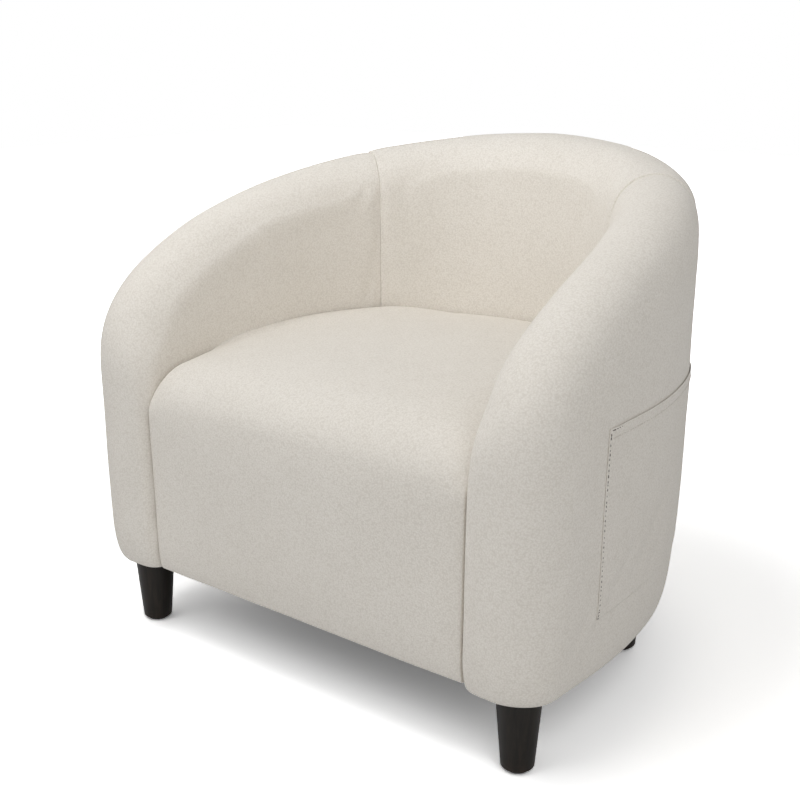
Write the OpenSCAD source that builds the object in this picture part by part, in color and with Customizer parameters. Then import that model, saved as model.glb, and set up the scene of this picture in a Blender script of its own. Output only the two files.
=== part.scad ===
// Tub armchair. The arms and back are one padded wall that sweeps down to round arm fronts,
// round a fixed sprung seat with a waterfall front. A flat pocket is sewn to the outside of
// one arm, and four tapered wooden legs screw into the base.
// Millimetres, +Z up. The chair faces -Y, and the origin is on the floor under its middle.

/* [Overall size] */
// Width over the arms
width = 764; // [700:2:840]
// Depth from the arm fronts to the back
depth = 628; // [570:2:700]
// Height of the top of the back
height = 675; // [620:5:760]
// Height of the lower edge of the upholstery
base_z = 101; // [85:1:130]

/* [Padded wall] */
// Thickness of the arms and back, fabric to fabric
wall = 112; // [104:1:124]
// Depth of the round part of the plan
curve_depth = 512; // [460:2:540]
// Squareness of the round part of the plan: 2 is an ellipse
squareness = 2.25; // [2.1:0.05:2.6]
// Height at which an arm front starts to curve backwards
arm_front_z = 362; // [330:1:400]
// How early the crest rises from the arm front: a larger value rises earlier
crest_rise = 1.57; // [1.3:0.01:2]
// How round the shoulder of the crest is at the arm front
crest_shoulder = 2.78; // [2:0.02:3.2]
// Squareness of the inner edge of an arm front, beside the seat: 2 is round
front_square = 5; // [2:0.5:6]
// Outward lean of the wall, as a share of its height
lean = 0.018; // [0:0.002:0.024]
// Height over which the lower edge tucks under
tuck_h = 70; // [40:1:90]
// How far the lower edge tucks under
tuck_in = 14; // [6:1:16]
// Length along the plan from an arm front to the seam between arm and back
seam_s = 502; // [470:1:540]

/* [Seat] */
// Clearance between the sides of the seat and the arms
seat_gap = 0.7; // [0.4:0.1:3]
// How far the front of the seat is set back from the arm fronts
seat_setback = 16; // [12:1:26]
// Height of the seat behind its rounded front edge
seat_z = 394; // [370:1:420]
// Radius of the rounded front edge of the seat
seat_nose_r = 63; // [40:1:80]
// Rise of the seat top towards the back, as a share of its length
seat_rise = 0.057; // [0:0.001:0.08]
// How far the middle of the seat front swells forwards
seat_bulge = 12; // [4:1:16]
// How far the middle of the seat top swells upwards
seat_crown = 12; // [4:1:24]

/* [Cover and foam] */
// Thickness of the cover fabric with its backing
cover_t = 2; // [1:0.1:3]
// Thickness of the foam over the rails at the wall's rim
rim_foam = 30; // [24:1:34]
// Thickness of the foam in front of the front rail
apron_foam = 24; // [20:1:30]

/* [Side pocket] */
// Length along the plan from the arm front to the front edge of the pocket
pocket_s = 121; // [100:1:180]
// Width of the pocket, measured along the wall
pocket_w = 371; // [250:1:375]
// Height of the lower edge of the pocket above the floor
pocket_z = 180; // [172:1:220]
// Height of the pocket from its lower edge to its mouth
pocket_h = 228; // [160:1:240]
// How far the middle of the mouth stands off the arm
pocket_gap = 9; // [7:0.5:12]
// Thickness of the doubled pocket fabric
pocket_t = 2.6; // [1.6:0.1:3]

/* [Legs] */
// Distance of the front legs in from the outside of the arms
front_leg_in = 66; // [60:1:76]
// Distance of the front legs behind the arm fronts
front_leg_inset = 57; // [50:1:66]
// Distance of the rear legs behind the arm fronts, along the plan
rear_leg_s = 444; // [400:1:480]
// Distance of the rear legs in from the outside of the wall
rear_leg_in = 72; // [56:1:78]
// Radius of a leg at its top
leg_top_r = 28; // [20:0.5:30]
// Radius of a leg at its foot
leg_foot_r = 20; // [15:0.5:25]
// Height of the glide under a leg
glide_h = 4; // [3:0.5:8]
// Radius of the leg bolt
bolt_r = 4; // [3:0.5:5]

/* [Timber frame] */
// Thickness of the plywood rings
ply = 18; // [15:1:22]
// Height of the top face of the seat ring above the floor
deck_z = 285; // [265:1:300]
// Width of the base ring and of the seat ring
ring_w = 66; // [58:1:72]
// Thickness of the posts and top rails across the wall
timber = 32; // [26:1:33]
// Length of a post along the wall
post_l = 45; // [40:1:50]
// Height of the top rail
rail_h = 28; // [20:1:34]
// Thickness of the front rail
front_rail_t = 22; // [18:1:26]
// Thickness of the boards under the outer foam
board_t = 2.5; // [2:0.1:3]

/* [Springs] */
// Number of zigzag springs in the seat
spring_count = 6; // [4:1:6]
// Distance of the outer springs from the side of the seat ring
spring_edge = 87; // [80:1:100]
// Radius of the spring wire
wire_r = 1.9; // [1.6:0.1:2.2]
// Width of a spring between the middles of its bends
spring_w = 34; // [26:1:40]
// Distance between the bars of a spring
bar_pitch = 24; // [20:1:28]

/* [Hidden] */

cream = [0.86, 0.84, 0.8];
foam_yellow = [0.93, 0.86, 0.62];
birch = [0.82, 0.68, 0.47];
pine = [0.87, 0.74, 0.52];
fibreboard = [0.55, 0.42, 0.28];
webbing_black = [0.16, 0.16, 0.17];
felt_grey = [0.55, 0.55, 0.54];
espresso = [0.16, 0.12, 0.1];
zinc = [0.72, 0.73, 0.75];
nylon = [0.1, 0.1, 0.1];

gap = 0.3;                                 // between pieces that lie against each other
foam_gap = 0.7;                            // between the cover and the foam
front_y = -depth / 2;
curve_y = depth / 2 - curve_depth;         // where the straight arms end
shoulder_z = height - wall / 2;            // where the wall is at its nominal plan
frame_in = 39;                             // from the nominal plan to the outside of the timber
staple_gap = 2.2;                          // between the timber and the boards' inside
board_in = frame_in - staple_gap - board_t; // to the outside of the boards
ring_proud = 3;                            // how far the base ring stands out past the timber
cavity_in = board_in - gap;                // to the outside of the space in the foam
webbing_in = frame_in + timber + 2;        // to the outside of the webbing
webbing_t = 1.8;
cavity_end = webbing_in + webbing_t + 0.4; // to the inside of the space in the foam
ring_z = base_z + cover_t;                 // underside of the base ring
ring_top = ring_z + ply;
post_gap = 4.5;                            // between the foam's inside and the first post
post_s = rim_foam + cover_t + post_gap;    // front of the arm front post, along the plan
seat_y = front_y + seat_setback;
seat_half_w = width / 2 - wall - lean * (shoulder_z - base_z) - seat_gap; // at the lower edge
rail_y = seat_y + cover_t + apron_foam;    // front face of the front rail
rail_back_y = rail_y + front_rail_t;
notch_s = rail_y - gap - front_y - 1;      // where the inner foam stops above the deck
wire_z = deck_z + wire_r + 1.3;
tie_r = 1.2;
felt_z = wire_z + wire_r + 2 * tie_r + 2 * gap;
felt_t = 3;
deck_foam_z = felt_z + felt_t + gap;
strut_s = 236;                             // middle of the side strut, along the plan
back_post_s = 700;                         // middle of a back post, along the plan
bolt_top = ring_top + 12;
nut_r = 11;
nut_t = 1.6;
nut_barrel_l = 9;
nut_barrel_t = 1.2;
nut_recess_h = 14;
screw_r = 2;
screw_l = 50;
screw_edge = 4.5;                          // from a screw's axis to the end of its post
round_fn = 48;

// ---- plan of the wall: a point, and the outward direction, at a length s along its outside

arc_steps = 40;
half_path = concat(
  [[-width / 2, front_y, -1, 0]],
  [for (i = [0:arc_steps])
    let (a = 90 * i / arc_steps,
         x = -width / 2 * pow(max(cos(a), 0), 2 / squareness),
         v = curve_depth * pow(sin(a), 2 / squareness),
         gx = -pow(-x * 2 / width, squareness - 1) * 2 / width,
         gy = pow(v / curve_depth, squareness - 1) / curve_depth,
         g = norm([gx, gy]))
      [x, curve_y + v, gx / g, gy / g]]);
path_n = len(half_path);

function step_length(i) =
  norm([half_path[i][0] - half_path[i - 1][0], half_path[i][1] - half_path[i - 1][1]]);

path_s = [for (i = 0, l = 0; i < path_n; i = i + 1, l = i < path_n ? l + step_length(i) : l) l];
half_len = path_s[path_n - 1];
column = [for (k = [0:3]) [for (i = [0:path_n - 1]) [path_s[i], half_path[i][k]]]];

function clamp(v, low, high) = min(max(v, low), high);
function mix(a, b, t) = a + (b - a) * t;
function from_front(s) = s > half_len ? 2 * half_len - s : s;

// The plan at s, moved out by o: [x, y]
function plan(s, o) =
  let (t = from_front(s),
       side = s > half_len ? -1 : 1,
       nx = lookup(t, column[2]),
       ny = lookup(t, column[3]),
       k = o / norm([nx, ny]))
    [side * (lookup(t, column[0]) + nx * k), lookup(t, column[1]) + ny * k];

// Direction of the outward normal at s, in degrees
function facing(s) = let (a = plan(s, 0), b = plan(s, 10)) atan2(b[1] - a[1], b[0] - a[0]);

// ---- rim of the wall: its crest, and the distance of a point of the unrolled wall from it

function crest(s) =
  let (q = clamp(from_front(s) / half_len, 0, 1))
    arm_front_z + (height - arm_front_z) * pow(1 - pow(1 - q, crest_rise), 1 / crest_shoulder);

rim_steps = 30;
rim = [for (i = [0:rim_steps])
  let (s = half_len * pow(i / rim_steps, 2.2)) [s, crest(s)]];

function segment_distance(p, a, b) =
  let (ab = b - a, t = clamp((p - a) * ab / (ab * ab), 0, 1)) norm(p - a - t * ab);

function rim_distance(s, z) =
  let (t = from_front(s),
       front = z <= arm_front_z ? t : norm([t, z - arm_front_z]))
    min(concat([front], [for (i = [0:rim_steps - 1])
      if (rim[i][0] < t + wall / 2 && rim[i + 1][0] > t - wall / 2)
        segment_distance([t, z], rim[i], rim[i + 1])]));

// Highest point at s that is at least c from the rim
function top_at(s, c) = c == 0 ? crest(s) : halve(s, c, base_z, crest(s), 14);
function halve(s, c, low, high, n) =
  let (m = (low + high) / 2)
    n == 0 ? low
    : rim_distance(s, m) >= c - 0.001 ? halve(s, c, m, high, n - 1)
    : halve(s, c, low, m, n - 1);

// ---- padded wall: its surface at s and height z, on the outside (1) or inside (-1), at depth c

function half_thickness(d, c, power) =
  let (r = wall / 2 - c, k = clamp((wall / 2 - d) / r, 0, 1)) r * pow(1 - pow(k, power), 1 / power);

// The inner edge of an arm front is square beside the seat and turns round above it
square_top = seat_z - 60;
round_from = seat_z + 50;
function inner_power(z) =
  let (t = clamp((z - square_top) / (round_from - square_top), 0, 1))
    mix(front_square, 2, t * t * (3 - 2 * t));

function tuck(z) =
  let (b = clamp((z - base_z) / tuck_h, 0, 1)) tuck_in * (1 - sqrt(1 - (1 - b) * (1 - b)));

function wall_point(s, z, side, c) =
  let (w = half_thickness(rim_distance(s, z), c, side > 0 ? 2 : inner_power(z)),
       o = lean * (z - shoulder_z) - wall / 2 + side * w - (side > 0 ? min(tuck(z), w) : 0),
       p = plan(s, o))
    [p[0], p[1], z];

tuck_rows = 3;
flat_rows = 3;
round_rows = 5;
line_rows = tuck_rows + flat_rows + round_rows;
round_h = 0.7 * wall;

// Heights of the points of a line below its top: through the tuck, the flat and the round rim
function heights(low, top) =
  let (flat_low = max(base_z + tuck_h, low + 10), round_low = max(top - round_h, flat_low + 10))
    concat([for (j = [0:tuck_rows - 1]) mix(low, flat_low, 1 - cos(90 * j / tuck_rows))],
           [for (j = [0:flat_rows - 1]) mix(flat_low, round_low, j / flat_rows)],
           [for (j = [0:round_rows - 1]) mix(round_low, top, sin(90 * j / round_rows))]);
function reversed(list) = [for (i = [len(list) - 1:-1:0]) list[i]];

// One line over the wall at s: up the outside, over the rim and down the inside
function wall_line(s, c, low, low_inside) =
  let (top = top_at(s, c))
    concat([for (z = heights(low, top)) wall_point(s, z, 1, c)],
           [wall_point(s, top, 1, c)],
           [for (z = reversed(heights(low_inside, top))) wall_point(s, z, -1, c)]);

// The same number of points round the space that the frame stands in, which has a flat top
function cavity_line(s, low, low_inside, closed) =
  let (top = cavity_top(s),
       middle = (cavity_in + cavity_end) / 2,
       out = plan(s, -(closed ? middle : cavity_in)),
       inside = plan(s, -(closed ? middle : cavity_end)),
       rim_point = plan(s, -middle),
       n = line_rows - 1)
    concat([for (j = [0:n]) [out[0], out[1], mix(low, top, j / n)]],
           [[rim_point[0], rim_point[1], top]],
           [for (j = [n:-1:0]) [inside[0], inside[1], mix(low_inside, top, j / n)]]);

// Lengths along the plan at which the wall has its lines
back_lines = 16;
fixed_s = [notch_s, notch_s + 0.4, pocket_s, rear_leg_s, pocket_s + pocket_w, seam_s - 0.2];
free_s = [0, 2, 8, 22, 66, 92, 165, 215, 270, 326, 382];
function in_order(list) =
  len(list) == 0 ? []
  : concat(in_order([for (v = list) if (v < list[0]) v]), [list[0]],
           in_order([for (v = list) if (v > list[0]) v]));
arm_s = in_order(concat(fixed_s, [for (s = free_s)
  if (s < seam_s - 10 && min([for (q = fixed_s) abs(q - s)]) > 10) s]));
back_s = [for (i = [0:back_lines]) mix(seam_s + 0.2, 2 * half_len - seam_s - 0.2, i / back_lines)];
// A length on the surface at depth c that goes with s on the outside of the arm
function inset_s(s, c) = s < notch_s ? mix(c, notch_s, s / notch_s) : s;
// Lowest point of the inner half of the wall: it stops above the deck, but not at the arm front
function inner_low(s, low) = from_front(s) <= notch_s + 0.1 ? low : felt_z;
// The space that the frame stands in: its lengths along the plan, and its top
cavity_depth = rim_foam + cover_t;
cavity_s = [for (s = arm_s) inset_s(s, cavity_depth)];
cavity_tops = [for (s = concat(cavity_s, [for (s = back_s) if (s < half_len + 1) s]))
  [s, top_at(s, cavity_depth)]];
function cavity_top(s) = lookup(from_front(s), cavity_tops);

// ---- a solid between two surfaces, each a list of lines with the same number of points

function two(a, b, c, d) = [[a, b, c], [a, c, d]];
function sheet_faces(lines, points, open_start) =
  let (b = lines * points, l = lines - 1, p = points - 1)
    concat(
      [for (i = [0:l - 1], j = [0:p - 1], f = two(i * points + j, (i + 1) * points + j,
        (i + 1) * points + j + 1, i * points + j + 1)) f],
      [for (i = [0:l - 1], j = [0:p - 1], f = two(b + i * points + j + 1,
        b + (i + 1) * points + j + 1, b + (i + 1) * points + j, b + i * points + j)) f],
      [for (i = [0:l - 1], f = two(i * points, b + i * points, b + (i + 1) * points,
        (i + 1) * points)) f],
      [for (i = [0:l - 1], f = two((i + 1) * points + p, b + (i + 1) * points + p,
        b + i * points + p, i * points + p)) f],
      [for (j = [0:p - 1], f = two(l * points + j, b + l * points + j,
        b + l * points + j + 1, l * points + j + 1)) f],
      open_start ? [for (j = [0:p - 1], f = two(j + 1, b + j + 1, b + j, j)) f] : []);

module sheet(outer, inner, open_start = true) {
  points = concat([for (line = outer, q = line) q], [for (line = inner, q = line) q]);
  polyhedron(points, sheet_faces(len(outer), len(outer[0]), open_start), convexity = 8);
}

// ---- upholstery

module arm_cover() {
  color(cream)
    sheet([for (s = arm_s) wall_line(s, 0, base_z, inner_low(s, base_z))],
          [for (s = arm_s) wall_line(inset_s(s, cover_t), cover_t, base_z, inner_low(s, base_z))],
          open_start = false);
}

module back_cover() {
  color(cream)
    sheet([for (s = back_s) wall_line(s, 0, base_z, inner_low(s, base_z))],
          [for (s = back_s) wall_line(s, cover_t, base_z, inner_low(s, base_z))]);
}

module arm_foam() {
  depth_c = cover_t + foam_gap;
  color(foam_yellow)
    sheet([for (s = arm_s) wall_line(inset_s(s, depth_c), depth_c, ring_z, inner_low(s, ring_z))],
          [for (i = [0:len(arm_s) - 1])
            cavity_line(cavity_s[i], ring_z, inner_low(arm_s[i], ring_z), closed = i == 0)],
          open_start = false);
}

module back_foam() {
  depth_c = cover_t + foam_gap;
  color(foam_yellow)
    sheet([for (s = back_s) wall_line(s, depth_c, ring_z, inner_low(s, ring_z))],
          [for (s = back_s) cavity_line(s, ring_z, inner_low(s, ring_z), closed = false)]);
}

// Inside of the wall at seat height: y for a distance x from the middle
seat_wall_in = wall - lean * (seat_z - shoulder_z);
inside_y = [for (i = [0:60]) let (p = plan(half_len * i / 60, -seat_wall_in)) [p[0], p[1]]];
function seat_back_y(x) = lookup(-abs(x), inside_y) - 3;

seat_columns = 14;
front_rows = 5;
nose_rows = 6;
top_rows = 8;

// The sides of the seat lean outwards with the arms
function seat_lean(x, z) = x * (1 + lean * (z - base_z) / seat_half_w);

// One line over the seat at x: up the front, round the nose and back along the top
function seat_line(x, c, low) =
  let (e = abs(x) / seat_half_w,
       nose_y = seat_y + seat_nose_r,
       back_y = max(seat_back_y(seat_lean(x, seat_z)) - c, nose_y + 20),
       line = concat(
         [for (i = [0:front_rows - 1])
           [seat_y + c, mix(low, seat_z - seat_nose_r, i / front_rows)]],
         [for (i = [0:nose_rows]) let (a = 90 * i / nose_rows)
           [nose_y - (seat_nose_r - c) * cos(a), seat_z - seat_nose_r + (seat_nose_r - c) * sin(a)]],
         [for (i = [1:top_rows]) let (y = mix(nose_y, back_y, i / top_rows))
           [y, seat_z - c + seat_rise * (y - nose_y)]]))
    [for (q = line)
      let (up = (q[1] - base_z) / (seat_z - base_z),
           front = clamp(1 - (q[0] - seat_y) / seat_nose_r, 0, 1))
        [seat_lean(x, q[1]), q[0] - seat_bulge * (1 - pow(e, 4)) * sin(90 * min(up, 1)) * front,
         q[1] + seat_crown * (1 - pow(e, 3)) * pow(up, 3)]];

// The seat foam's inside: up the front rail and back along the felt
function deck_line(x, low) =
  let (y = rail_y - gap,
       n = front_rows + nose_rows,
       back_y = max(seat_back_y(seat_lean(x, seat_z)) - 3, y + 20))
    concat([for (i = [0:n]) let (z = mix(low, deck_foam_z, i / n)) [seat_lean(x, z), y, z]],
           [for (i = [1:top_rows])
             [seat_lean(x, deck_foam_z), mix(y, back_y, i / top_rows), deck_foam_z]]);

seat_x = [for (i = [0:seat_columns]) seat_half_w * sin(90 - 180 * i / seat_columns)];

module seat_cover() {
  color(cream)
    sheet([for (x = seat_x) seat_line(x, 0, base_z)],
          [for (x = seat_x) seat_line(x * (1 - cover_t / seat_half_w), cover_t, base_z)]);
}

module seat_foam() {
  inset = 1 - (cover_t + foam_gap) / seat_half_w;
  color(foam_yellow)
    sheet([for (x = seat_x) seat_line(x * inset, cover_t + foam_gap, ring_z)],
          [for (x = seat_x) deck_line(x * inset, ring_z)]);
}

// ---- side pocket: a doubled panel, sewn down at its sides and foot and open at the top

pocket_rows = 6;
pocket_lines = [for (s = arm_s) if (s >= pocket_s && s <= pocket_s + pocket_w) s];

function pocket_line(s, extra) =
  [for (j = [0:pocket_rows])
    let (z = mix(pocket_z, pocket_z + pocket_h, j / pocket_rows),
         u = 2 * (s - pocket_s) / pocket_w - 1,
         stand_off = gap + pocket_gap * (1 - pow(u, 4)) * pow(j / pocket_rows, 0.4),
         p = plan(s, lean * (z - shoulder_z) + stand_off + extra))
      [p[0], p[1], z]];

module side_pocket() {
  color(cream)
    mirror([1, 0, 0])
      sheet([for (s = pocket_lines) pocket_line(s, pocket_t)],
            [for (s = pocket_lines) pocket_line(s, 0)]);
}

// ---- timber frame

// Lengths at which the frame's pieces have their corners, the same as the foam's inner walls
frame_s = concat([for (s = cavity_s) if (s < seam_s - 1) s], [for (s = back_s) s],
                 [for (i = [len(cavity_s) - 2:-1:0]) 2 * half_len - cavity_s[i]]);
function frame_stations(a, b) = concat([a], [for (s = frame_s) if (s > a + 1 && s < b - 1) s], [b]);

// Outline of a strip of the plan between two depths, from s = a to s = b
function strip(a, b, out, inside) =
  let (line = frame_stations(a, b), n = len(line))
    concat([for (s = line) plan(s, -out)], [for (i = [n - 1:-1:0]) plan(line[i], -inside)]);

module strip_board(a, b, out, inside, z, h) {
  translate([0, 0, z]) linear_extrude(height = h) polygon(strip(a, b, out, inside));
}

// Puts its children at s, at depth o, with X along the outward normal
module at_wall(s, o) {
  p = plan(s, -o);
  translate([p[0], p[1], 0]) rotate([0, 0, facing(s)]) children();
}

module both_sides() {
  children();
  mirror([1, 0, 0]) children();
}

front_post_s = post_s + post_l / 2;
rear_leg = plan(rear_leg_s, -rear_leg_in);
leg_places = [[-(width / 2 - front_leg_in), front_y + front_leg_inset], rear_leg];

// The section of a post; more makes it larger, for the housing that it stands in
module post_section(s, more = 0) {
  at_wall(s, frame_in + timber / 2)
    translate([-timber / 2 - more, -post_l / 2 - more, 0])
      square([timber + 2 * more, post_l + 2 * more]);
}

module screw(clear = 0) {
  translate([0, 0, ring_z + 1]) {
    cylinder(r = screw_r + clear, h = screw_l + clear, $fn = round_fn);
    cylinder(r1 = 2 * screw_r + clear, r2 = screw_r + clear, h = screw_r, $fn = round_fn);
  }
}

// Two screws from below into each post and strut of the left side
module left_screws(clear = 0) {
  for (s = [front_post_s, strut_s, rear_leg_s, back_post_s], t = [-1, 1])
    at_wall(s, frame_in + timber / 2)
      translate([0, t * (post_l / 2 - screw_edge), 0]) screw(clear);
}

// Room for the nut and the end of the leg bolt over each left leg
module left_nut_recesses() {
  for (p = leg_places)
    translate([p[0], p[1], ring_top - 1])
      cylinder(r = nut_r + 1, h = nut_recess_h + 1, $fn = round_fn);
}

// Ring that the legs screw into. Its inner front corners are notched for the arm front's foam
module base_ring() {
  ring_s = post_s - 2;
  ring_in = frame_in - ring_proud;
  color(birch)
    difference() {
      strip_board(ring_s, 2 * half_len - ring_s, ring_in, ring_in + ring_w, ring_z, ply);
      both_sides() {
        translate([-(width / 2 - cavity_end), front_y + ring_s - 1, ring_z - 1])
          cube([ring_w, notch_s - ring_s + 1 + gap, ply + 2]);
        left_screws(clear = 0.1);
        translate([0, 0, ring_z - 2])
          for (p = leg_places)
            translate([p[0], p[1], 0])
              cylinder(r = bolt_r + nut_barrel_t + 0.1, h = ply + 4, $fn = round_fn);
      }
    }
}

module seat_ring() {
  ring_s = rail_back_y + gap - front_y;
  color(birch)
    difference() {
      strip_board(ring_s, 2 * half_len - ring_s, frame_in, frame_in + ring_w, deck_z - ply, ply);
      both_sides()
        translate([0, 0, deck_z - ply - 1])
          linear_extrude(height = ply + 2)
            for (s = [front_post_s, rear_leg_s, back_post_s]) post_section(s, more = gap);
    }
}

// The front rail stands between the front posts, notched over the ends of the base ring
module front_rail() {
  rail_half = width / 2 - frame_in - timber - gap;
  ring_edge = width / 2 - frame_in + ring_proud - ring_w - gap;
  color(birch)
    difference() {
      translate([-rail_half, rail_y, ring_z]) cube([2 * rail_half, front_rail_t, deck_z - ring_z]);
      both_sides()
        translate([ring_edge, rail_y - 1, ring_z - 1])
          cube([rail_half, front_rail_t + 2, ply + 1]);
      both_sides() left_nut_recesses();
    }
}

// Glue block in the corner of the front rail and the base ring
block_h = 40;
module corner_block() {
  x = -(width / 2 - frame_in - timber - gap);
  color(pine)
    difference() {
      translate([x, rail_back_y + gap, ring_top])
        linear_extrude(height = block_h) polygon([[0, 0], [32, 0], [32, 8], [8, 50], [0, 50]]);
      left_nut_recesses();
    }
}

function rail_top(s) = cavity_top(s) - gap;
// Lowest height of a top rail's underside over a post that stands at s
function rail_low(s) =
  min(rail_top(s - 0.7 * post_l), rail_top(s + 0.7 * post_l)) - rail_h;

// Post from the base ring to the top rail, cut to the rail's slope and recessed over a leg
module post(s, recessed) {
  color(pine)
    difference() {
      translate([0, 0, ring_top])
        linear_extrude(height = rail_low(s) - gap - ring_top) post_section(s);
      left_screws(clear = 0.1);
      if (recessed) left_nut_recesses();
    }
}

// The arm front post, with its top end sawn to the curve of the arm rail
module arm_front_post() {
  outline = concat(
    [[front_y + post_s + post_l, ring_top], [front_y + post_s, ring_top]],
    [for (s = frame_stations(post_s, post_s + post_l))
      [front_y + s, rail_top(s) - rail_h - gap]]);
  color(pine)
    difference() {
      translate([-(width / 2 - frame_in), 0, 0])
        rotate([90, 0, 90]) linear_extrude(height = timber) polygon(outline);
      left_screws(clear = 0.1);
      left_nut_recesses();
    }
}

module side_strut() {
  color(pine)
    difference() {
      translate([0, 0, ring_top])
        linear_extrude(height = deck_z - ply - gap - ring_top) post_section(strut_s);
      left_screws(clear = 0.1);
    }
}

// One corner line of a board on edge, at depth o, from height low up to high
function edge_line(s, o, low, high) = let (p = plan(s, -o)) [[p[0], p[1], low], [p[0], p[1], high]];

// A top rail from s = a to s = b: a board on edge that follows the crest
module top_rail(a, b) {
  line = frame_stations(a, b);
  color(birch)
    sheet([for (s = line) edge_line(s, frame_in, rail_top(s) - rail_h, rail_top(s))],
          [for (s = line) edge_line(s, frame_in + timber, rail_top(s) - rail_h, rail_top(s))]);
}

module arm_rail() { top_rail(post_s, rear_leg_s - gap / 2); }
module back_rail() { top_rail(rear_leg_s + gap / 2, 2 * half_len - rear_leg_s - gap / 2); }

// Short curved rails between the posts of the back, behind the small of the back
lumbar_place = 0.56;                       // share of the way from the seat ring to the top rail
module lumbar_rail() {
  z = mix(deck_z, rail_low(rear_leg_s), lumbar_place);
  color(birch)
    difference() {
      strip_board(rear_leg_s, 2 * half_len - rear_leg_s, frame_in, frame_in + timber, z, ply);
      both_sides()
        translate([0, 0, z - 1])
          linear_extrude(height = ply + 2)
            for (s = [rear_leg_s, back_post_s]) post_section(s, more = gap);
    }
}

// A thin board round the outside of the frame, up to the top rail
module board(a, b) {
  line = frame_stations(a, b);
  below_rail_top = 8;
  color(fibreboard)
    sheet([for (s = line)
            edge_line(s, board_in, ring_top + gap, rail_top(s) - below_rail_top)],
          [for (s = line)
            edge_line(s, board_in + board_t, ring_top + gap, rail_top(s) - below_rail_top)]);
}

module arm_board() { board(post_s + 0.5, rear_leg_s - gap / 2); }
module back_board() { board(rear_leg_s + gap / 2, 2 * half_len - rear_leg_s - gap / 2); }

module frame_screws() {
  color(zinc) both_sides() left_screws();
}

// ---- seat suspension

spring_front_y = rail_y + front_rail_t / 2;
deck_in = frame_in + ring_w;
spring_pitch = 2 * (width / 2 - deck_in - spring_edge) / (spring_count - 1);
ring_edge_y = [for (i = [0:60]) let (p = plan(half_len * i / 60, -deck_in)) [p[0], p[1]]];
function spring_x(k) = (k - (spring_count - 1) / 2) * spring_pitch;
// Where the seat ring's inner edge is behind spring k
function ring_y(k) = lookup(-(abs(spring_x(k)) + spring_w / 2 + bar_pitch / 2), ring_edge_y);
// A spring is cut to a whole number of bends, and its last bar lies on the seat ring
function bend_count(k) = ceil((ring_y(k) + clip_reach - spring_front_y) / bar_pitch);
function spring_back_y(k) = spring_front_y + bend_count(k) * bar_pitch;

// A zigzag wire: straight bars across, joined by half-round bends
module seat_spring(k) {
  color(zinc)
    translate([spring_x(k), spring_front_y, wire_z])
      for (i = [0:bend_count(k)]) {
        translate([-spring_w / 2, i * bar_pitch, 0])
          rotate([0, 90, 0]) cylinder(r = wire_r, h = spring_w, $fn = round_fn);
        if (i < bend_count(k))
          translate([(i % 2 == 0 ? 1 : -1) * spring_w / 2, (i + 0.5) * bar_pitch, 0])
            rotate([0, 0, i % 2 == 0 ? -90 : 90])
              rotate_extrude(angle = 180, $fn = round_fn)
                translate([bar_pitch / 2, 0]) circle(r = wire_r, $fn = round_fn);
      }
}

clip_w = 16;
clip_wall = 1;
clip_l = 9;
clip_reach = 8;                            // from the ring's edge to the first possible clip
// A clip nailed to the rail: a strap and a loop round the end bar
module spring_clip(direction) {
  loop_r = wire_z - deck_z;
  difference() {
    union() {
      rotate([0, 90, 0]) cylinder(r = loop_r, h = clip_w, center = true, $fn = round_fn);
      translate([-clip_w / 2, direction > 0 ? 0 : -clip_l, -loop_r]) cube([clip_w, clip_l, clip_wall]);
    }
    rotate([0, 90, 0]) cylinder(r = wire_r + 0.2, h = clip_w + 2, center = true, $fn = round_fn);
  }
}

module front_spring_clips() {
  color(zinc)
    for (k = [0:spring_count - 1])
      translate([spring_x(k), spring_front_y, wire_z]) spring_clip(-1);
}

module rear_spring_clips() {
  color(zinc)
    for (k = [0:spring_count - 1])
      translate([spring_x(k), spring_back_y(k), wire_z]) spring_clip(1);
}

tie_places = [0.27, 0.57];                 // shares of the way from the front rail to the ring
module spring_tie_wires() {
  half_l = width / 2 - frame_in - timber - 6;
  tie_y = [for (t = tie_places) mix(spring_front_y, depth / 2 - deck_in, t)];
  color(zinc)
    for (y = tie_y)
      translate([-half_l, y, wire_z + wire_r + tie_r + gap / 2])
        rotate([0, 90, 0]) cylinder(r = tie_r, h = 2 * half_l, $fn = round_fn);
}

// Felt between the springs and the foam
module spring_felt() {
  edge = wall - lean * (deck_z - shoulder_z) + 2;
  start = rail_y - front_y + 1;
  end = 2 * half_len - start;
  color(felt_grey)
    translate([0, 0, felt_z]) linear_extrude(height = felt_t)
      polygon([for (s = frame_stations(start, end)) plan(s, -edge)]);
}

// Elastic webbing across the inside of the frame, tacked to the posts
web_h = 48;
module web(a, b, z) {
  color(webbing_black)
    strip_board(a, b, webbing_in, webbing_in + webbing_t, z, web_h);
}

module arm_webbing() { web(post_s + 4, rear_leg_s, deck_z + 45); }

module back_webbing() {
  for (t = [0, 0.5, 1])
    web(rear_leg_s, 2 * half_len - rear_leg_s,
        mix(deck_z + 100, rail_low(rear_leg_s) - web_h / 2, t));
}

// ---- underside

module dust_cover() {
  edge = frame_in + 6;
  start = notch_s + 1;
  points = [for (s = frame_stations(start, 2 * half_len - start)) plan(s, -edge)];
  color(webbing_black)
    difference() {
      translate([0, 0, base_z + 0.6]) linear_extrude(height = 1.1) polygon(points);
      both_sides()
        for (p = leg_places)
          translate([p[0], p[1], base_z - 1]) cylinder(r = bolt_r + 0.6, h = 5, $fn = round_fn);
    }
}

bolt_in_leg = 40;
pin_r = 2.4;
pin_h = 12;
foot_round = 3;

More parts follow.
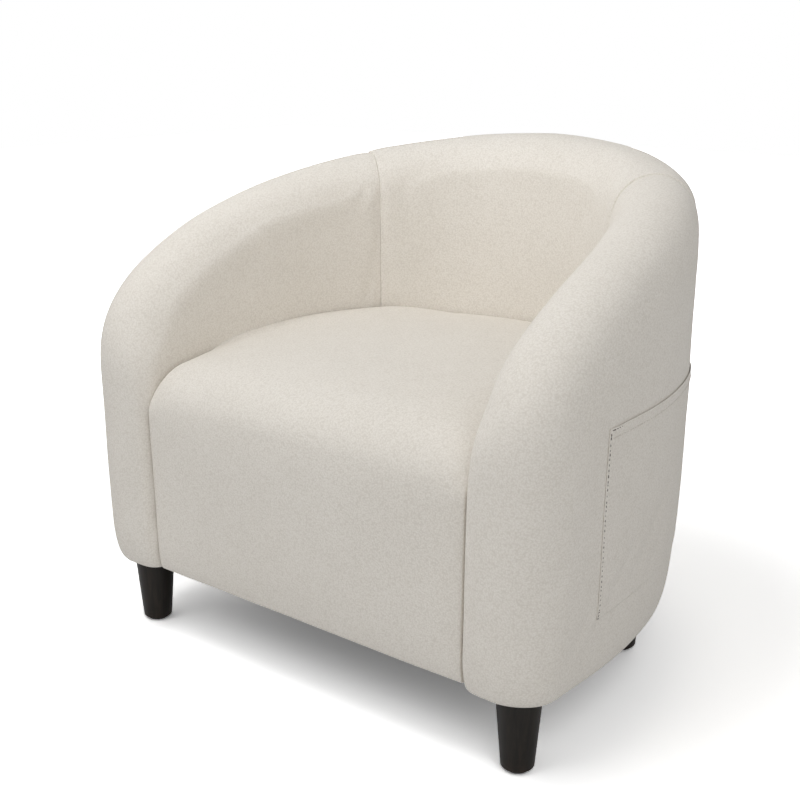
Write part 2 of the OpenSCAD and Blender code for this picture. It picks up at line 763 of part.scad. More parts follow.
// A tapered leg, bored for its bolt at the top and for the pin of its glide at the foot
module leg(p) {
  top = base_z + 0.3;
  color(espresso)
    translate([p[0], p[1], 0])
      difference() {
        rotate_extrude($fn = round_fn)
          polygon(concat(
            [[0, glide_h]],
            [for (a = [0:15:90]) [leg_foot_r - foot_round + foot_round * sin(a),
                                  glide_h + foot_round - foot_round * cos(a)]],
            [[leg_top_r, top - 1], [leg_top_r - 1, top], [0, top]]));
        translate([0, 0, top - bolt_in_leg - 2])
          cylinder(r = bolt_r + 0.1, h = bolt_in_leg + 3, $fn = round_fn);
        translate([0, 0, glide_h - 1]) cylinder(r = pin_r + 0.1, h = pin_h + 2, $fn = round_fn);
      }
}

module glide(p) {
  color(nylon)
    translate([p[0], p[1], 0]) {
      rotate_extrude($fn = round_fn)
        polygon([[0, 0], [13, 0], [15, 1.5], [15, glide_h - gap], [0, glide_h - gap]]);
      cylinder(r = pin_r, h = glide_h + pin_h, $fn = round_fn);
    }
}

module leg_bolts() {
  color(zinc)
    both_sides()
      for (p = leg_places)
        translate([p[0], p[1], base_z + 0.3 - bolt_in_leg])
          cylinder(r = bolt_r, h = bolt_top - base_z - 0.3 + bolt_in_leg, $fn = round_fn);
}

// A flanged nut set into the top of the base ring over each leg
module leg_t_nuts() {
  color(zinc)
    both_sides()
      for (p = leg_places)
        translate([p[0], p[1], ring_top])
          difference() {
            union() {
              cylinder(r = nut_r, h = nut_t, $fn = round_fn);
              translate([0, 0, -nut_barrel_l])
                cylinder(r = bolt_r + nut_barrel_t, h = nut_barrel_l, $fn = round_fn);
            }
            translate([0, 0, -nut_barrel_l - 1])
              cylinder(r = bolt_r + 0.1, h = nut_barrel_l + nut_t + 2, $fn = round_fn);
          }
}

module right() { mirror([1, 0, 0]) children(); }

base_ring();
seat_ring();
front_rail();
corner_block();  // corner_block_left
right() corner_block();  // corner_block_right
arm_front_post();  // arm_front_post_left
right() arm_front_post();  // arm_front_post_right
post(rear_leg_s, recessed = true);  // arm_rear_post_left
right() post(rear_leg_s, recessed = true);  // arm_rear_post_right
post(back_post_s, recessed = false);  // back_post_left
right() post(back_post_s, recessed = false);  // back_post_right
side_strut();  // side_strut_left
right() side_strut();  // side_strut_right
arm_rail();  // arm_rail_left
right() arm_rail();  // arm_rail_right
back_rail();
lumbar_rail();
arm_board();  // arm_board_left
right() arm_board();  // arm_board_right
back_board();
frame_screws();
seat_spring(0);  // seat_spring_1
seat_spring(1);  // seat_spring_2
seat_spring(2);  // seat_spring_3
seat_spring(3);  // seat_spring_4
seat_spring(4);  // seat_spring_5
seat_spring(5);  // seat_spring_6
front_spring_clips();
rear_spring_clips();
spring_tie_wires();
spring_felt();
arm_webbing();  // arm_webbing_left
right() arm_webbing();  // arm_webbing_right
back_webbing();
arm_foam();  // arm_foam_left
right() arm_foam();  // arm_foam_right
back_foam();
seat_foam();
arm_cover();  // arm_cover_left
right() arm_cover();  // arm_cover_right
back_cover();
seat_cover();
side_pocket();
dust_cover();
leg(leg_places[0]);  // leg_front_left
right() leg(leg_places[0]);  // leg_front_right
leg(leg_places[1]);  // leg_rear_left
right() leg(leg_places[1]);  // leg_rear_right
leg_bolts();
leg_t_nuts();
glide(leg_places[0]);  // glide_front_left
right() glide(leg_places[0]);  // glide_front_right
glide(leg_places[1]);  // glide_rear_left
right() glide(leg_places[1]);  // glide_rear_right
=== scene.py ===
# %% [markdown]
# # An upholstered tub armchair
#
# A tub armchair is a timber frame with one thick padded wall round it: the arms and the back are
# the same roll of foam and cloth, high behind and sweeping down to round arm fronts. Inside the
# wall sits a fixed, sprung seat whose cloth runs over a waterfall edge down to the base. The frame
# model is loaded first and is never moved. Everything that is cloth is then modelled over it, and
# every wooden, metal and plastic piece gets its finish.

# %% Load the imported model
import math

import bpy
import numpy as np
from mathutils import Matrix, Vector, noise
from mathutils.bvhtree import BVHTree


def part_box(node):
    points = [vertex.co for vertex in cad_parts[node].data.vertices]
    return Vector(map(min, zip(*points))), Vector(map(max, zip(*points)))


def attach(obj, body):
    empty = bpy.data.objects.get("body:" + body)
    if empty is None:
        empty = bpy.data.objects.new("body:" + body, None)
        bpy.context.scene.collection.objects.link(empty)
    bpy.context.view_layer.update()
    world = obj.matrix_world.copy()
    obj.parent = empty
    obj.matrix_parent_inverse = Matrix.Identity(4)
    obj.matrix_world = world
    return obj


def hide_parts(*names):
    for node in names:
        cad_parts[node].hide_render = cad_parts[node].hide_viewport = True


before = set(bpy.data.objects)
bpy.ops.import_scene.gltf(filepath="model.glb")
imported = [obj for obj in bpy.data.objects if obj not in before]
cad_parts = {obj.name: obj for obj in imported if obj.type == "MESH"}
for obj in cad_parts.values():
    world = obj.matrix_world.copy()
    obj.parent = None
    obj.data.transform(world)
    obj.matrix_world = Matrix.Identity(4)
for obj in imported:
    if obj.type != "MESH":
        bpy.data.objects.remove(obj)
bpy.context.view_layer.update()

# %% [markdown]
# ## Camera
#
# The chair is seen from the front, turned about 39 degrees, from a little above. The camera stands
# on a circle round a point near the middle of the chair and looks at that point. Two angles and a
# distance are easier to reason about than a bare location. The lens is a little longer than
# normal, so that the near arm isn't drawn too large.

# %% Place the camera
AZIMUTH, ELEVATION = math.radians(39.45), math.radians(16.107)
DISTANCE = 1.8236
LENS, SENSOR = 57.87, 36  # millimetres
TARGET = Vector((-0.0674, -0.0047, 0.3167))
toward_camera = Vector((math.sin(AZIMUTH) * math.cos(ELEVATION),
                        -math.cos(AZIMUTH) * math.cos(ELEVATION),
                        math.sin(ELEVATION)))

camera_data = bpy.data.cameras.new("camera")
camera_data.sensor_width, camera_data.lens = SENSOR, LENS
camera = bpy.data.objects.new("camera", camera_data)
bpy.context.collection.objects.link(camera)
camera.location = TARGET + toward_camera * DISTANCE
camera.rotation_mode = "QUATERNION"
camera.rotation_quaternion = (-toward_camera).to_track_quat("-Z", "Y")
bpy.context.scene.camera = camera
print("camera at", [round(v, 3) for v in camera.location])

# %% [markdown]
# ## The plan of the wall
#
# Seen from above, the outside of the wall is two short straight arms joined by a squarish half
# oval, a superellipse. One length, `s`, says how far along that outline a place is: 0 at the left
# arm front, then round the back to the right arm front. With `s` and a height the bent wall can be
# treated as if it were unrolled flat, as an upholsterer's paper pattern is.

# %% Outline of the wall in plan
ARM_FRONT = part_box("arm_cover_left")[0][1]  # y of the arm fronts
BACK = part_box("back_cover")[1][1]
BASE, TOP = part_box("back_cover")[0][2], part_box("back_cover")[1][2]
HALF_WIDTH = 0.382
WALL = 0.112               # thickness of the arms and back
CURVE_DEPTH = 0.512        # depth of the round part of the plan
SQUARENESS = 2.25          # 2 would be an ellipse
LEAN = 0.018               # outward lean, as a share of the height
SHOULDER = TOP - WALL / 2  # height where the lean is nil
SEAM = 0.502               # s of the seam between arm and back


def outline_table(steps=720):
    """Lengths s, and rows of x, y and outward direction, along the left half of the plan."""
    a = np.linspace(0, math.pi / 2, steps + 1)
    x = -HALF_WIDTH * np.cos(a).clip(0) ** (2 / SQUARENESS)
    v = CURVE_DEPTH * np.sin(a) ** (2 / SQUARENESS)
    out_x = -((-x / HALF_WIDTH) ** (SQUARENESS - 1)) / HALF_WIDTH
    out_y = (v / CURVE_DEPTH) ** (SQUARENESS - 1) / CURVE_DEPTH
    rows = np.column_stack([x, BACK - CURVE_DEPTH + v, out_x, out_y])
    rows = np.vstack([[-HALF_WIDTH, ARM_FRONT, -1, 0], rows])
    rows[:, 2:] /= np.linalg.norm(rows[:, 2:], axis=1)[:, None]
    steps_xy = np.diff(rows[:, :2], axis=0)
    return np.concatenate([[0], np.cumsum(np.hypot(steps_xy[:, 0], steps_xy[:, 1]))]), rows


path_s, path_rows = outline_table()
HALF_LENGTH = float(path_s[-1])
FAR_SEAM = 2 * HALF_LENGTH - SEAM


def from_front(s):
    """The length from the nearer arm front."""
    return np.where(s > HALF_LENGTH, 2 * HALF_LENGTH - s, s)


def plan(s, out):
    """Points x, y of the plan at lengths s, moved outwards by out."""
    t = from_front(np.asarray(s, float))
    x, y, nx, ny = (np.interp(t, path_s, path_rows[:, k]) for k in range(4))
    k = out / np.hypot(nx, ny)
    return np.where(np.asarray(s) > HALF_LENGTH, -1.0, 1.0) * (x + nx * k), y + ny * k


print("length of the outline, both arms and back:", round(2 * HALF_LENGTH, 3), "m")

# %% [markdown]
# ## The crest and the roll
#
# The top edge of the wall, its crest, starts at the arm fronts, climbs steeply, and then flattens
# towards the back. The wall is as round along this rim as a bolster: its thickness at a place
# depends only on how far that place is from the rim. So half a circle of thickness grows from the
# rim inwards, and the same rule rounds the arm fronts. Beside the seat the inner edge of an arm
# front is squarer, so there a superellipse takes the circle's place.

# %% Crest and distance to the rim
ARM_FRONT_TOP = 0.362  # height where an arm front turns back
CREST_RISE, CREST_SHOULDER = 1.57, 2.78
FRONT_SQUARE = 5.0                     # squareness of an arm front's inner edge
SQUARE_TOP, ROUND_FROM = 0.334, 0.444  # heights between which it turns round


def crest(s):
    """Height of the top edge at lengths s."""
    q = np.clip(from_front(np.asarray(s, float)) / HALF_LENGTH, 0, 1)
    return ARM_FRONT_TOP + (TOP - ARM_FRONT_TOP) * (1 - (1 - q) ** CREST_RISE) ** (1 / CREST_SHOULDER)


rim_s = HALF_LENGTH * np.linspace(0, 1, 240) ** 2.2
rim = np.column_stack([rim_s, crest(rim_s)])


def rim_distance(s, z):
    """Distance in the unrolled wall from each (s, z) to the rim."""
    t = from_front(s)
    p = np.stack(np.broadcast_arrays(t, z), -1)[..., None, :]
    a, ab = rim[:-1], np.diff(rim, axis=0)
    k = np.clip(((p - a) * ab).sum(-1) / (ab * ab).sum(-1), 0, 1)
    near = np.linalg.norm(p - a - k[..., None] * ab, axis=-1).min(-1)
    return np.minimum(near, np.where(z <= ARM_FRONT_TOP, t, np.hypot(t, z - ARM_FRONT_TOP)))


def top_at(s, inset):
    """Highest place at s that is at least inset from the rim."""
    low, high = BASE, float(crest(s))
    for _ in range(16):
        middle = (low + high) / 2
        if rim_distance(np.array([s]), np.array([middle]))[0] >= inset:
            low = middle
        else:
            high = middle
    return low


print("crest at the arm front, at the seam and at the back:",
      [round(float(crest(s)), 3) for s in (0, SEAM, HALF_LENGTH)])

# %% [markdown]
# ## The tuck and the surface of the wall
#
# Near the floor the cloth is drawn in under the base and stapled. The foot curves in on a quarter
# circle, further behind than in front and at the sides. With the tuck, the surface is complete: a
# place on the wall is its point of the plan, moved out or in by half the thickness there.

# %% Tuck, and points on the wall
TUCK_HEIGHT = 0.070
REAR_HEIGHT = 0.125                                     # the rear's foot curves in from higher up
TUCK_FRONT, TUCK_SIDE, TUCK_REAR = 0.012, 0.009, 0.034  # how far the foot is pulled in
FRONT_END = 0.09                                        # s where the tuck of the arm front ends
REAR_START = 0.3                                        # s where the rear's tuck starts


def ease(t):
    """A smooth step from 0 to 1."""
    t = np.clip(t, 0, 1)
    return t * t * (3 - 2 * t)


def gathering(count):
    """Steps from 0 to 1 that are close together at first."""
    return 1 - np.cos(np.linspace(0, math.pi / 2, count))


def tucked(z, height=TUCK_HEIGHT):
    """Share of the full tuck at a height: 1 at the foot, 0 above the tuck."""
    b = np.clip((z - BASE) / height, 0, 1)
    return 1 - np.sqrt(1 - (1 - b) ** 2)


def wall_points(s, z, side, inset):
    """Points on the outside (side 1) or the inside (side -1) of the wall, inset under its surface."""
    r = WALL / 2 - inset
    k = np.clip((WALL / 2 - rim_distance(s, z)) / r, 0, 1)
    squareness = FRONT_SQUARE + (2 - FRONT_SQUARE) * ease((z - SQUARE_TOP) / (ROUND_FROM - SQUARE_TOP))
    power = 2 if side > 0 else squareness
    half = r * (1 - k ** power) ** (1 / power)
    out = LEAN * (z - SHOULDER) - WALL / 2 + side * half
    back_from = from_front(s)
    if side > 0:
        rear = ease(back_from / REAR_START - 1)
        tuck = TUCK_SIDE * (1 - rear) * tucked(z) + TUCK_REAR * rear * tucked(z, REAR_HEIGHT)
        out = out - np.minimum(tuck, half)
    x, y = plan(s, out)
    y = y + TUCK_FRONT * tucked(z) * ease(1 - back_from / FRONT_END)
    return np.stack([x, y, z], -1)


middle = np.array([HALF_LENGTH]), np.array([(BASE + TOP) / 2])
print("outside and inside of the back at half height, y:",
      [round(float(wall_points(*middle, side, 0)[0, 1]), 3) for side in (1, -1)])

# %% [markdown]
# ## A padded piece as a grid
#
# Each padded piece is a closed grid of points: columns across the piece, and on each column a loop
# of points round its section, up the outside, over the top, down the inside and across the foot. A
# grid keeps the rows of the mesh in line with the threads of the cloth, so that a weave can follow
# them in the piece's own UV map, and it leaves the mesh clean where two panels meet at a seam.

# %% Helpers for new pieces
def select_only(piece):
    bpy.ops.object.select_all(action="DESELECT")
    piece.select_set(True)
    bpy.context.view_layer.objects.active = piece


def distances(points, axis):
    """Running length along an axis of a grid of points, starting from 0."""
    step = np.linalg.norm(np.diff(points, axis=axis), axis=2)
    return np.concatenate([np.zeros_like(step.take([0], axis)), np.cumsum(step, axis)], axis)


def edit_all(operation, **settings):
    """Runs a mesh operation on the whole of the active piece."""
    bpy.ops.object.mode_set(mode="EDIT")
    bpy.ops.mesh.select_all(action="SELECT")
    operation(**settings)
    bpy.ops.object.mode_set(mode="OBJECT")


def new_piece(name, points, faces, uvs=()):
    """A mesh piece from points and faces, and for cloth a list of UV pairs for each face."""
    mesh = bpy.data.meshes.new(name)
    mesh.from_pydata([tuple(p) for p in points], [], faces)
    if uvs:
        layer = mesh.uv_layers.new(name="cloth")
        layer.data.foreach_set("uv", [c for face in uvs for pair in face for c in pair])
    piece = bpy.data.objects.new(name, mesh)
    bpy.context.collection.objects.link(piece)
    return piece


# %% Build a padded piece
def padded_grid(name, outside, over, inside, foot, closed_start=False):
    """A closed piece. Each argument is an array (columns, points, 3), and inside runs upwards.

    closed_start joins the outside and inside of the first column, which lie on one line.
    Returns the piece and, for each vertex, the place of its point in the grid.
    """
    loops = np.concatenate([outside, over, inside[:, ::-1], foot], axis=1)
    columns, around, _ = loops.shape
    rows = outside.shape[1]
    inner = [rows + over.shape[1] + rows - 1 - k for k in range(rows)]
    place = np.arange(columns * around)
    if closed_start:
        place[inner] = np.arange(rows)
        place[inner[0] + 1:around] = 0
    grid = [[i * around + j, i * around + (j + 1) % around,
             (i + 1) * around + (j + 1) % around, (i + 1) * around + j]
            for i in range(columns - 1) for j in range(around)]
    for i in ([] if closed_start else [0]) + [columns - 1]:
        c = i * around
        grid += [[c + k, c + k + 1, c + inner[k + 1], c + inner[k]] for k in range(rows - 1)]
        grid.append([c + j for j in range(rows - 1, inner[-1] + 1)])
        grid.append([c + j for j in range(inner[0], around)] + [c])
    u, v = distances(loops, 0).ravel(), distances(loops, 1).ravel()
    kept, vertex = np.unique(place, return_inverse=True)
    faces, uvs = [], []
    for corners in grid:
        seen = {}
        for g in corners:
            seen.setdefault(int(vertex[g]), (u[g], v[g]))
        if len(seen) > 2:
            faces.append(list(seen))
            uvs.append(list(seen.values()))
    piece = new_piece(name, loops.reshape(-1, 3)[kept], faces, uvs)
    select_only(piece)
    edit_all(bpy.ops.mesh.normals_make_consistent, inside=False)
    print(name, len(piece.data.vertices), "points")
    return piece, kept


# %% [markdown]
# ## Cloth over foam
#
# A formula gives a shape that is too perfect for upholstery. A short cloth simulation inflates
# each piece a little against its own stretch while the seams and the stapled lower edge are held.
# That gives the soft fullness between seams. The pieces start a little too thin. The foam under
# the cloth is firm, so only the outward part of the movement is kept, and it is capped. Afterwards
# the surface is made slightly uneven, as hand padding is, and puckered beside the seams.

# %% Swell a piece as cloth
SWELL = 0.0015     # the pieces start this much too thin
CAP = 0.003        # the most that a point may move
FOAM_GIVE = 0.001  # softens the stop against the foam
FRAMES = 20
HELD_FOOT = 0.014  # the hold at the foot fades over this height


def vectors(piece, field="co"):
    """The points of a piece, or another vector that each of its vertices has."""
    flat = np.empty(len(piece.data.vertices) * 3)
    piece.data.vertices.foreach_get(field, flat)
    return flat.reshape(-1, 3)


def push_out(piece, amounts):
    """Moves each point of a piece along its normal."""
    points = vectors(piece) + vectors(piece, "normal") * amounts[:, None]
    piece.data.vertices.foreach_set("co", points.ravel())
    piece.data.update()


def held_at_base(z):
    """How firmly the stapled lower edge holds the cloth at a height."""
    return np.clip(1.15 - (z - BASE) / HELD_FOOT, 0, 1)


def swell(piece, hold):
    """Inflates a piece as cloth. hold is 1 at a point that stays and 0 at a free one."""
    start, normals = vectors(piece), vectors(piece, "normal")
    held = piece.vertex_groups.new(name="held")
    for i in np.nonzero(hold > 0.01)[0]:
        held.add([int(i)], float(hold[i]), "REPLACE")
    cloth = piece.modifiers.new("cloth", "CLOTH")
    cloth.settings.quality = 5
    cloth.settings.mass = 0.3
    cloth.settings.tension_stiffness = cloth.settings.compression_stiffness = 15
    cloth.settings.shear_stiffness = 5
    cloth.settings.bending_stiffness = 0.5
    cloth.settings.use_pressure = True
    cloth.settings.uniform_pressure_force = 4
    cloth.settings.vertex_group_mass = "held"
    cloth.settings.effector_weights.gravity = 0
    cloth.point_cache.frame_end = FRAMES
    for number in range(1, FRAMES + 1):
        bpy.context.scene.frame_set(number)
    shown = piece.evaluated_get(bpy.context.evaluated_depsgraph_get())
    move = vectors(shown) - start
    piece.modifiers.remove(cloth)
    piece.vertex_groups.remove(held)
    bpy.context.scene.frame_set(1)
    outward = (move * normals).sum(1)
    outward = (outward + np.sqrt(outward ** 2 + FOAM_GIVE ** 2)) / 2
    push = CAP * (1 - np.exp(-outward / CAP)) * (1 - hold)
    push_out(piece, push)
    print(piece.name, "swells by", round(float(np.median(push)) * 1000, 1), "mm, and at most by",
          round(float(push.max()) * 1000, 1), "mm")


# %% Make a piece uneven, pucker it beside a seam, smooth it
PUCKER, PUCKER_PITCH, PUCKER_REACH = 0.0007, 0.015, 0.018


def make_uneven(piece, amount, size):
    """Slow hollows and swellings, as hand padding has."""
    push_out(piece, amount * np.array([noise.noise(Vector(p) / size) for p in vectors(piece)]))


def pucker(piece, seam_distance, along):
    """Small folds that run away from a seam, strongest at the stitches."""
    fold = np.array([noise.noise(Vector((a / PUCKER_PITCH, 3.7, 0))) for a in along])
    push_out(piece, PUCKER * fold * np.exp(-seam_distance / PUCKER_REACH))


def smooth(piece):
    select_only(piece)
    modifier = piece.modifiers.new("smooth", "SUBSURF")
    modifier.levels = modifier.render_levels = 1
    bpy.ops.object.modifier_apply(modifier="smooth")
    bpy.ops.object.shade_smooth()
    print(piece.name, len(piece.data.polygons), "faces")


# %% [markdown]
# ## Arms and back
#
# The wall's cover is sewn from three panels, two arms and the back, with a seam down each side of
# the back. Each panel is its own piece. Its columns stand at even steps along the plan, closer
# together where the arm front turns and beside the seams, where the cloth dips into the stitches.
# The back panel is padded 2 mm fuller than the arms, so it stands a little proud at the seam.

# %% Columns of a wall panel
LOWEST = 0.1028      # the foot, just under the base ring
ROLL = 0.7 * WALL    # height of the part that needs close rows
SEAM_PRESS = 0.0003  # each panel is pressed this far past the seam
SEAM_SIDE = 0.014    # width beside a seam with close columns
FOOT_POINTS = 16     # across the foot, with both its ends
beside_seam = np.array([0, 0.0007, 0.0018, 0.0038, 0.0075])


def row_heights(top):
    """Heights up one side: close together in the tuck and over the roll."""
    lower = BASE + TUCK_HEIGHT * gathering(11)
    roll_low = max(top - ROLL, lower[-1] + 0.02)
    middle = np.linspace(lower[-1], roll_low, 41)
    upper = roll_low + (top - roll_low) * np.sin(np.linspace(0, math.pi / 2, 18))
    return np.concatenate([lower[:-1], middle[:-1], upper])


def seam_dip(s):
    """How far the cloth dips at s: a wide shallow valley, with a fine crease at the stitches."""
    away = abs(float(from_front(s)) - SEAM)
    return 0.0004 * math.exp(-away / 0.0015) + 0.0016 * math.exp(-(away / 0.012) ** 2)


def wall_panel(name, lengths, fuller, closed_start):
    """A wall panel with a column at each length, and the s and height of each of its vertices."""
    outside, over, inside, foot = [], [], [], []
    for s in lengths:
        inset = SWELL - fuller + seam_dip(s)
        z = row_heights(top_at(s, inset))
        line = np.full(len(z), s)
        up = wall_points(line, z, 1, inset)
        down = wall_points(line, z, -1, inset)
        under = np.linspace(down[0], up[0], FOOT_POINTS)
        under[:, 2] = BASE + (LOWEST - BASE) * np.sin(np.linspace(0, math.pi, FOOT_POINTS)) ** 0.3
        outside.append(up[:-1])
        over.append(up[-1:])
        inside.append(down[:-1])
        foot.append(under[1:-1])
    grids = [np.array(g) for g in (outside, over, inside, foot)]
    piece, kept = padded_grid(name, *grids, closed_start)
    around = sum(g.shape[1] for g in grids)
    return piece, np.repeat(lengths, around)[kept], vectors(piece)[:, 2]


# %% Build the left arm and the back
BACK_FULLER = 0.002
front_lengths = SWELL + (WALL / 2 - SWELL) * gathering(17) ** 1.5
arm_lengths = np.concatenate([front_lengths[:-1], np.linspace(WALL / 2, SEAM - SEAM_SIDE, 55),
                              (SEAM + SEAM_PRESS - beside_seam)[::-1]])
back_lengths = np.concatenate([SEAM - SEAM_PRESS + beside_seam,
                               np.linspace(SEAM + SEAM_SIDE, FAR_SEAM - SEAM_SIDE, 82),
                               (FAR_SEAM + SEAM_PRESS - beside_seam)[::-1]])
arm_left, arm_s, arm_z = wall_panel("arm_upholstery_left", arm_lengths, 0, True)
back, back_s, back_z = wall_panel("back_upholstery", back_lengths, BACK_FULLER, False)

# %% Swell and smooth the arms and back
HOLD, HOLD_WIDTH = 0.7, 0.022  # how firmly a seam is held, and how far from it
WALL_UNEVEN = 0.0012, 0.11     # depth and size of the hollows


def hold_wall(s, z):
    """The seams and the lower edge are held, and the rest is free."""
    at_seam = np.clip(1 - np.abs(from_front(s) - SEAM) / HOLD_WIDTH, 0, 1) ** 2 * HOLD
    return np.maximum(at_seam, held_at_base(z))


for piece, s, z in ((arm_left, arm_s, arm_z), (back, back_s, back_z)):
    swell(piece, hold_wall(s, z))
    pucker(piece, np.abs(from_front(s) - SEAM), z)
    make_uneven(piece, *WALL_UNEVEN)
    smooth(piece)

# %% [markdown]
# The right arm is the left one's mirror image. A negative scale turns a shape inside out, so the
# copy's faces are flipped back.

# %% Mirror the arm
arm_right = arm_left.copy()
arm_right.data = arm_left.data.copy()
arm_right.name = arm_right.data.name = "arm_upholstery_right"
bpy.context.collection.objects.link(arm_right)
arm_right.data.transform(Matrix.Diagonal((-1, 1, 1, 1)))
arm_right.data.flip_normals()
print(arm_right.name, "reaches x =", round(float(vectors(arm_right)[:, 0].max()), 4))

# %% [markdown]
# ## Seat
#
# The seat cover is one length of cloth: up the front, over the waterfall edge, and back along the
# top, tucked down beside the arms and behind. Thick foam lies on the springs, and a thinner pad
# stands before the front rail, so the section is an upside-down L. The top is crowned and the
# front swells forward in the middle. Behind, the sides rise a little more than the middle. The
# long edges beside the arms are rounded, most of all at the two top corners of the front.

# %% Sizes of the seat
SEAT_FRONT = ARM_FRONT + 0.016  # y of the front at its sides
SEAT_HALF = 0.260               # half the width at the lower edge
SEAT_TOP = 0.394
NOSE = 0.063  # radius of the waterfall edge
SEAT_RISE, SEAT_BULGE, SEAT_CROWN = 0.014, 0.012, 0.012
SIDE_RISE = 0.010                    # how much more the sides rise behind
TOP_SPREAD = 1.018                   # the seat's top is wider than its lower edge
BACK_EDGE = 0.012                    # radius of the top's rear edge
SEAT_TUCK = 0.006                    # how far the front's lower edge is pulled in
EDGE = 0.002                         # radius of the front's edges beside the arms
CORNER, CORNER_DROP = 0.050, 0.0150  # width and depth of the rounded side edges
CORNER_FROM, CORNER_TO = 0.12, 0.40  # behind the nose, where their depth fades
CLEAR = 0.0003                       # from the wood and the felt
APRON_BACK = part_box("front_rail")[0][1] - CLEAR
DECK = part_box("spring_felt")[1][2] + CLEAR
FRONT_ROWS, NOSE_ROWS, TOP_ROWS = 30, 15, 52
print("seat from y =", round(SEAT_FRONT, 3), "with foam down to", round(DECK, 3), "on the springs")

# %% Columns of the seat
inner_x, inner_y = plan(np.linspace(0, HALF_LENGTH, 600), -(WALL - LEAN * (SEAT_TOP - SHOULDER)))


def rounded(distance, radius):
    """How far a surface is below its edge's corner at a distance from the edge."""
    e = np.clip(radius - distance, 0, radius)
    return radius - np.sqrt(radius * radius - e * e)


def seat_column(x):
    """Outside, back edge, inside and foot of the seat's section at x."""
    e = abs(x) / SEAT_HALF
    c = SWELL + float(rounded(SEAT_HALF - abs(x), EDGE))
    nose_y = SEAT_FRONT + NOSE
    back_y = max(np.interp(-abs(x) * TOP_SPREAD, inner_x, inner_y) - 0.001, nose_y + 0.02)
    angle = np.linspace(0, math.pi / 2, NOSE_ROWS)
    drop = CORNER_DROP * float(rounded(SEAT_HALF - abs(x), CORNER)) / CORNER
    reach = NOSE - c - drop * np.sin(angle) * (1 + 0.7 * np.cos(angle))
    top_y = np.linspace(nose_y, back_y, TOP_ROWS + 1)[1:]
    fade = ease((top_y - nose_y - CORNER_FROM) / (CORNER_TO - CORNER_FROM))
    y = np.concatenate([np.full(FRONT_ROWS, SEAT_FRONT + c), nose_y - reach * np.cos(angle), top_y])
    z = np.concatenate([np.linspace(BASE + 0.0004, SEAT_TOP - NOSE, FRONT_ROWS + 1)[:-1],
                        SEAT_TOP - NOSE + reach * np.sin(angle),
                        SEAT_TOP - c - drop * (1 - fade)])
    t = np.clip((y - nose_y) / (back_y - nose_y), 0, 1)
    z += SEAT_RISE * t * (2 - t) - rounded(back_y - y, BACK_EDGE)
    z += SIDE_RISE * float(ease((e - 0.35) / 0.35)) * ease((t - 0.42) / 0.55)
    up = (z - BASE) / (SEAT_TOP - BASE)
    front = np.clip(1 - (y - SEAT_FRONT) / NOSE, 0, 1)
    y = y - SEAT_BULGE * (1 - e ** 4) * np.sin(math.pi / 2 * np.clip(up, 0, 1)) * front
    y += SEAT_TUCK * tucked(z)
    z = z + SEAT_CROWN * (1 - e ** 3) * (1 - 0.75 * t ** 3) * np.clip(up, 0, None) ** 3
    low_rows = FRONT_ROWS + NOSE_ROWS
    inside_y = [np.full(low_rows, APRON_BACK), np.linspace(APRON_BACK, back_y, TOP_ROWS + 1)[1:]]
    inside_z = [np.linspace(LOWEST, DECK, low_rows), np.full(TOP_ROWS, DECK)]
    inside = np.column_stack([np.concatenate(inside_y), np.concatenate(inside_z)])
    outside = np.column_stack([y, z])
    back_edge = np.linspace(outside[-1], inside[-1], 14)[1:-1]
    foot = np.linspace(inside[0], outside[0], 6)[1:-1]
    foot[:, 1] = LOWEST
    return [np.column_stack([x + math.copysign(LEAN, x) * (q[:, 1] - BASE) * e, q])
            for q in (outside, back_edge, inside, foot)]


# %% Build the seat
from_edge = CORNER * gathering(16)
seat_x = np.concatenate([-SEAT_HALF + from_edge[:-1],
                         np.linspace(CORNER - SEAT_HALF, SEAT_HALF - CORNER, 54),
                         (SEAT_HALF - from_edge)[::-1][1:]])
seat_sections = [seat_column(x) for x in seat_x]
seat = padded_grid("seat_upholstery", *(np.array([c[k] for c in seat_sections])
                                        for k in range(4)))[0]

# %% Swell and smooth the seat
HELD_SIDE, HELD_BACK = 0.006, 0.010  # the cloth is held this far in from the wall
SEAT_UNEVEN = 0.0014, 0.12

points = vectors(seat)
seat_around = len(points) // len(seat_x)
from_side = SEAT_HALF - np.abs(np.repeat(seat_x, seat_around))
from_back = np.interp(-np.abs(points[:, 0]), inner_x, inner_y) - points[:, 1]
on_frame = (points[:, 1] > APRON_BACK - 0.002) & (points[:, 2] < DECK + 0.02)
swell(seat, np.maximum.reduce([np.clip(1 - from_side / HELD_SIDE, 0, 1), held_at_base(points[:, 2]),
                               np.clip(1 - from_back / HELD_BACK, 0, 1), on_frame.astype(float)]))
make_uneven(seat, *SEAT_UNEVEN)
smooth(seat)

# %% [markdown]
# ## Side pocket
#
# A flat pocket for papers is sewn to the outside of the right arm: a doubled panel, stitched down
# at its front and rear edges, joined blind along its foot and open at the top. Empty, it lies
# almost flat. It is a sheet, so it is made by laying a grid on the arm: each point is dropped onto
# the finished arm from outside, then lifted by the fullness, the hem and the stitched dents.

# %% Find places on the arm and in the pocket
pocket_low, pocket_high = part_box("side_pocket")
POCKET_FOOT = pocket_low[2]
POCKET_HEIGHT = pocket_high[2] - pocket_low[2]
POCKET_FRONT, POCKET_WIDTH = 0.121, 0.371  # in from the arm front, and its width
POCKET_CLOTH = 0.0009                      # thickness of the doubled cloth
POCKET_OFF, POCKET_FULL = 0.0002, 0.0007   # gap to the arm, and slack in the middle
STITCH_IN, STITCH_DENT = 0.0035, 0.0004    # in from the edge, and how deep they pull
HEM, HEM_PROUD = 0.014, 0.0003
OUTSIDE, DROP = 0.03, 0.08  # where points are dropped from, and how far

arm_tree = BVHTree.FromPolygons([v.co for v in arm_right.data.vertices],
                                [p.vertices for p in arm_right.data.polygons])


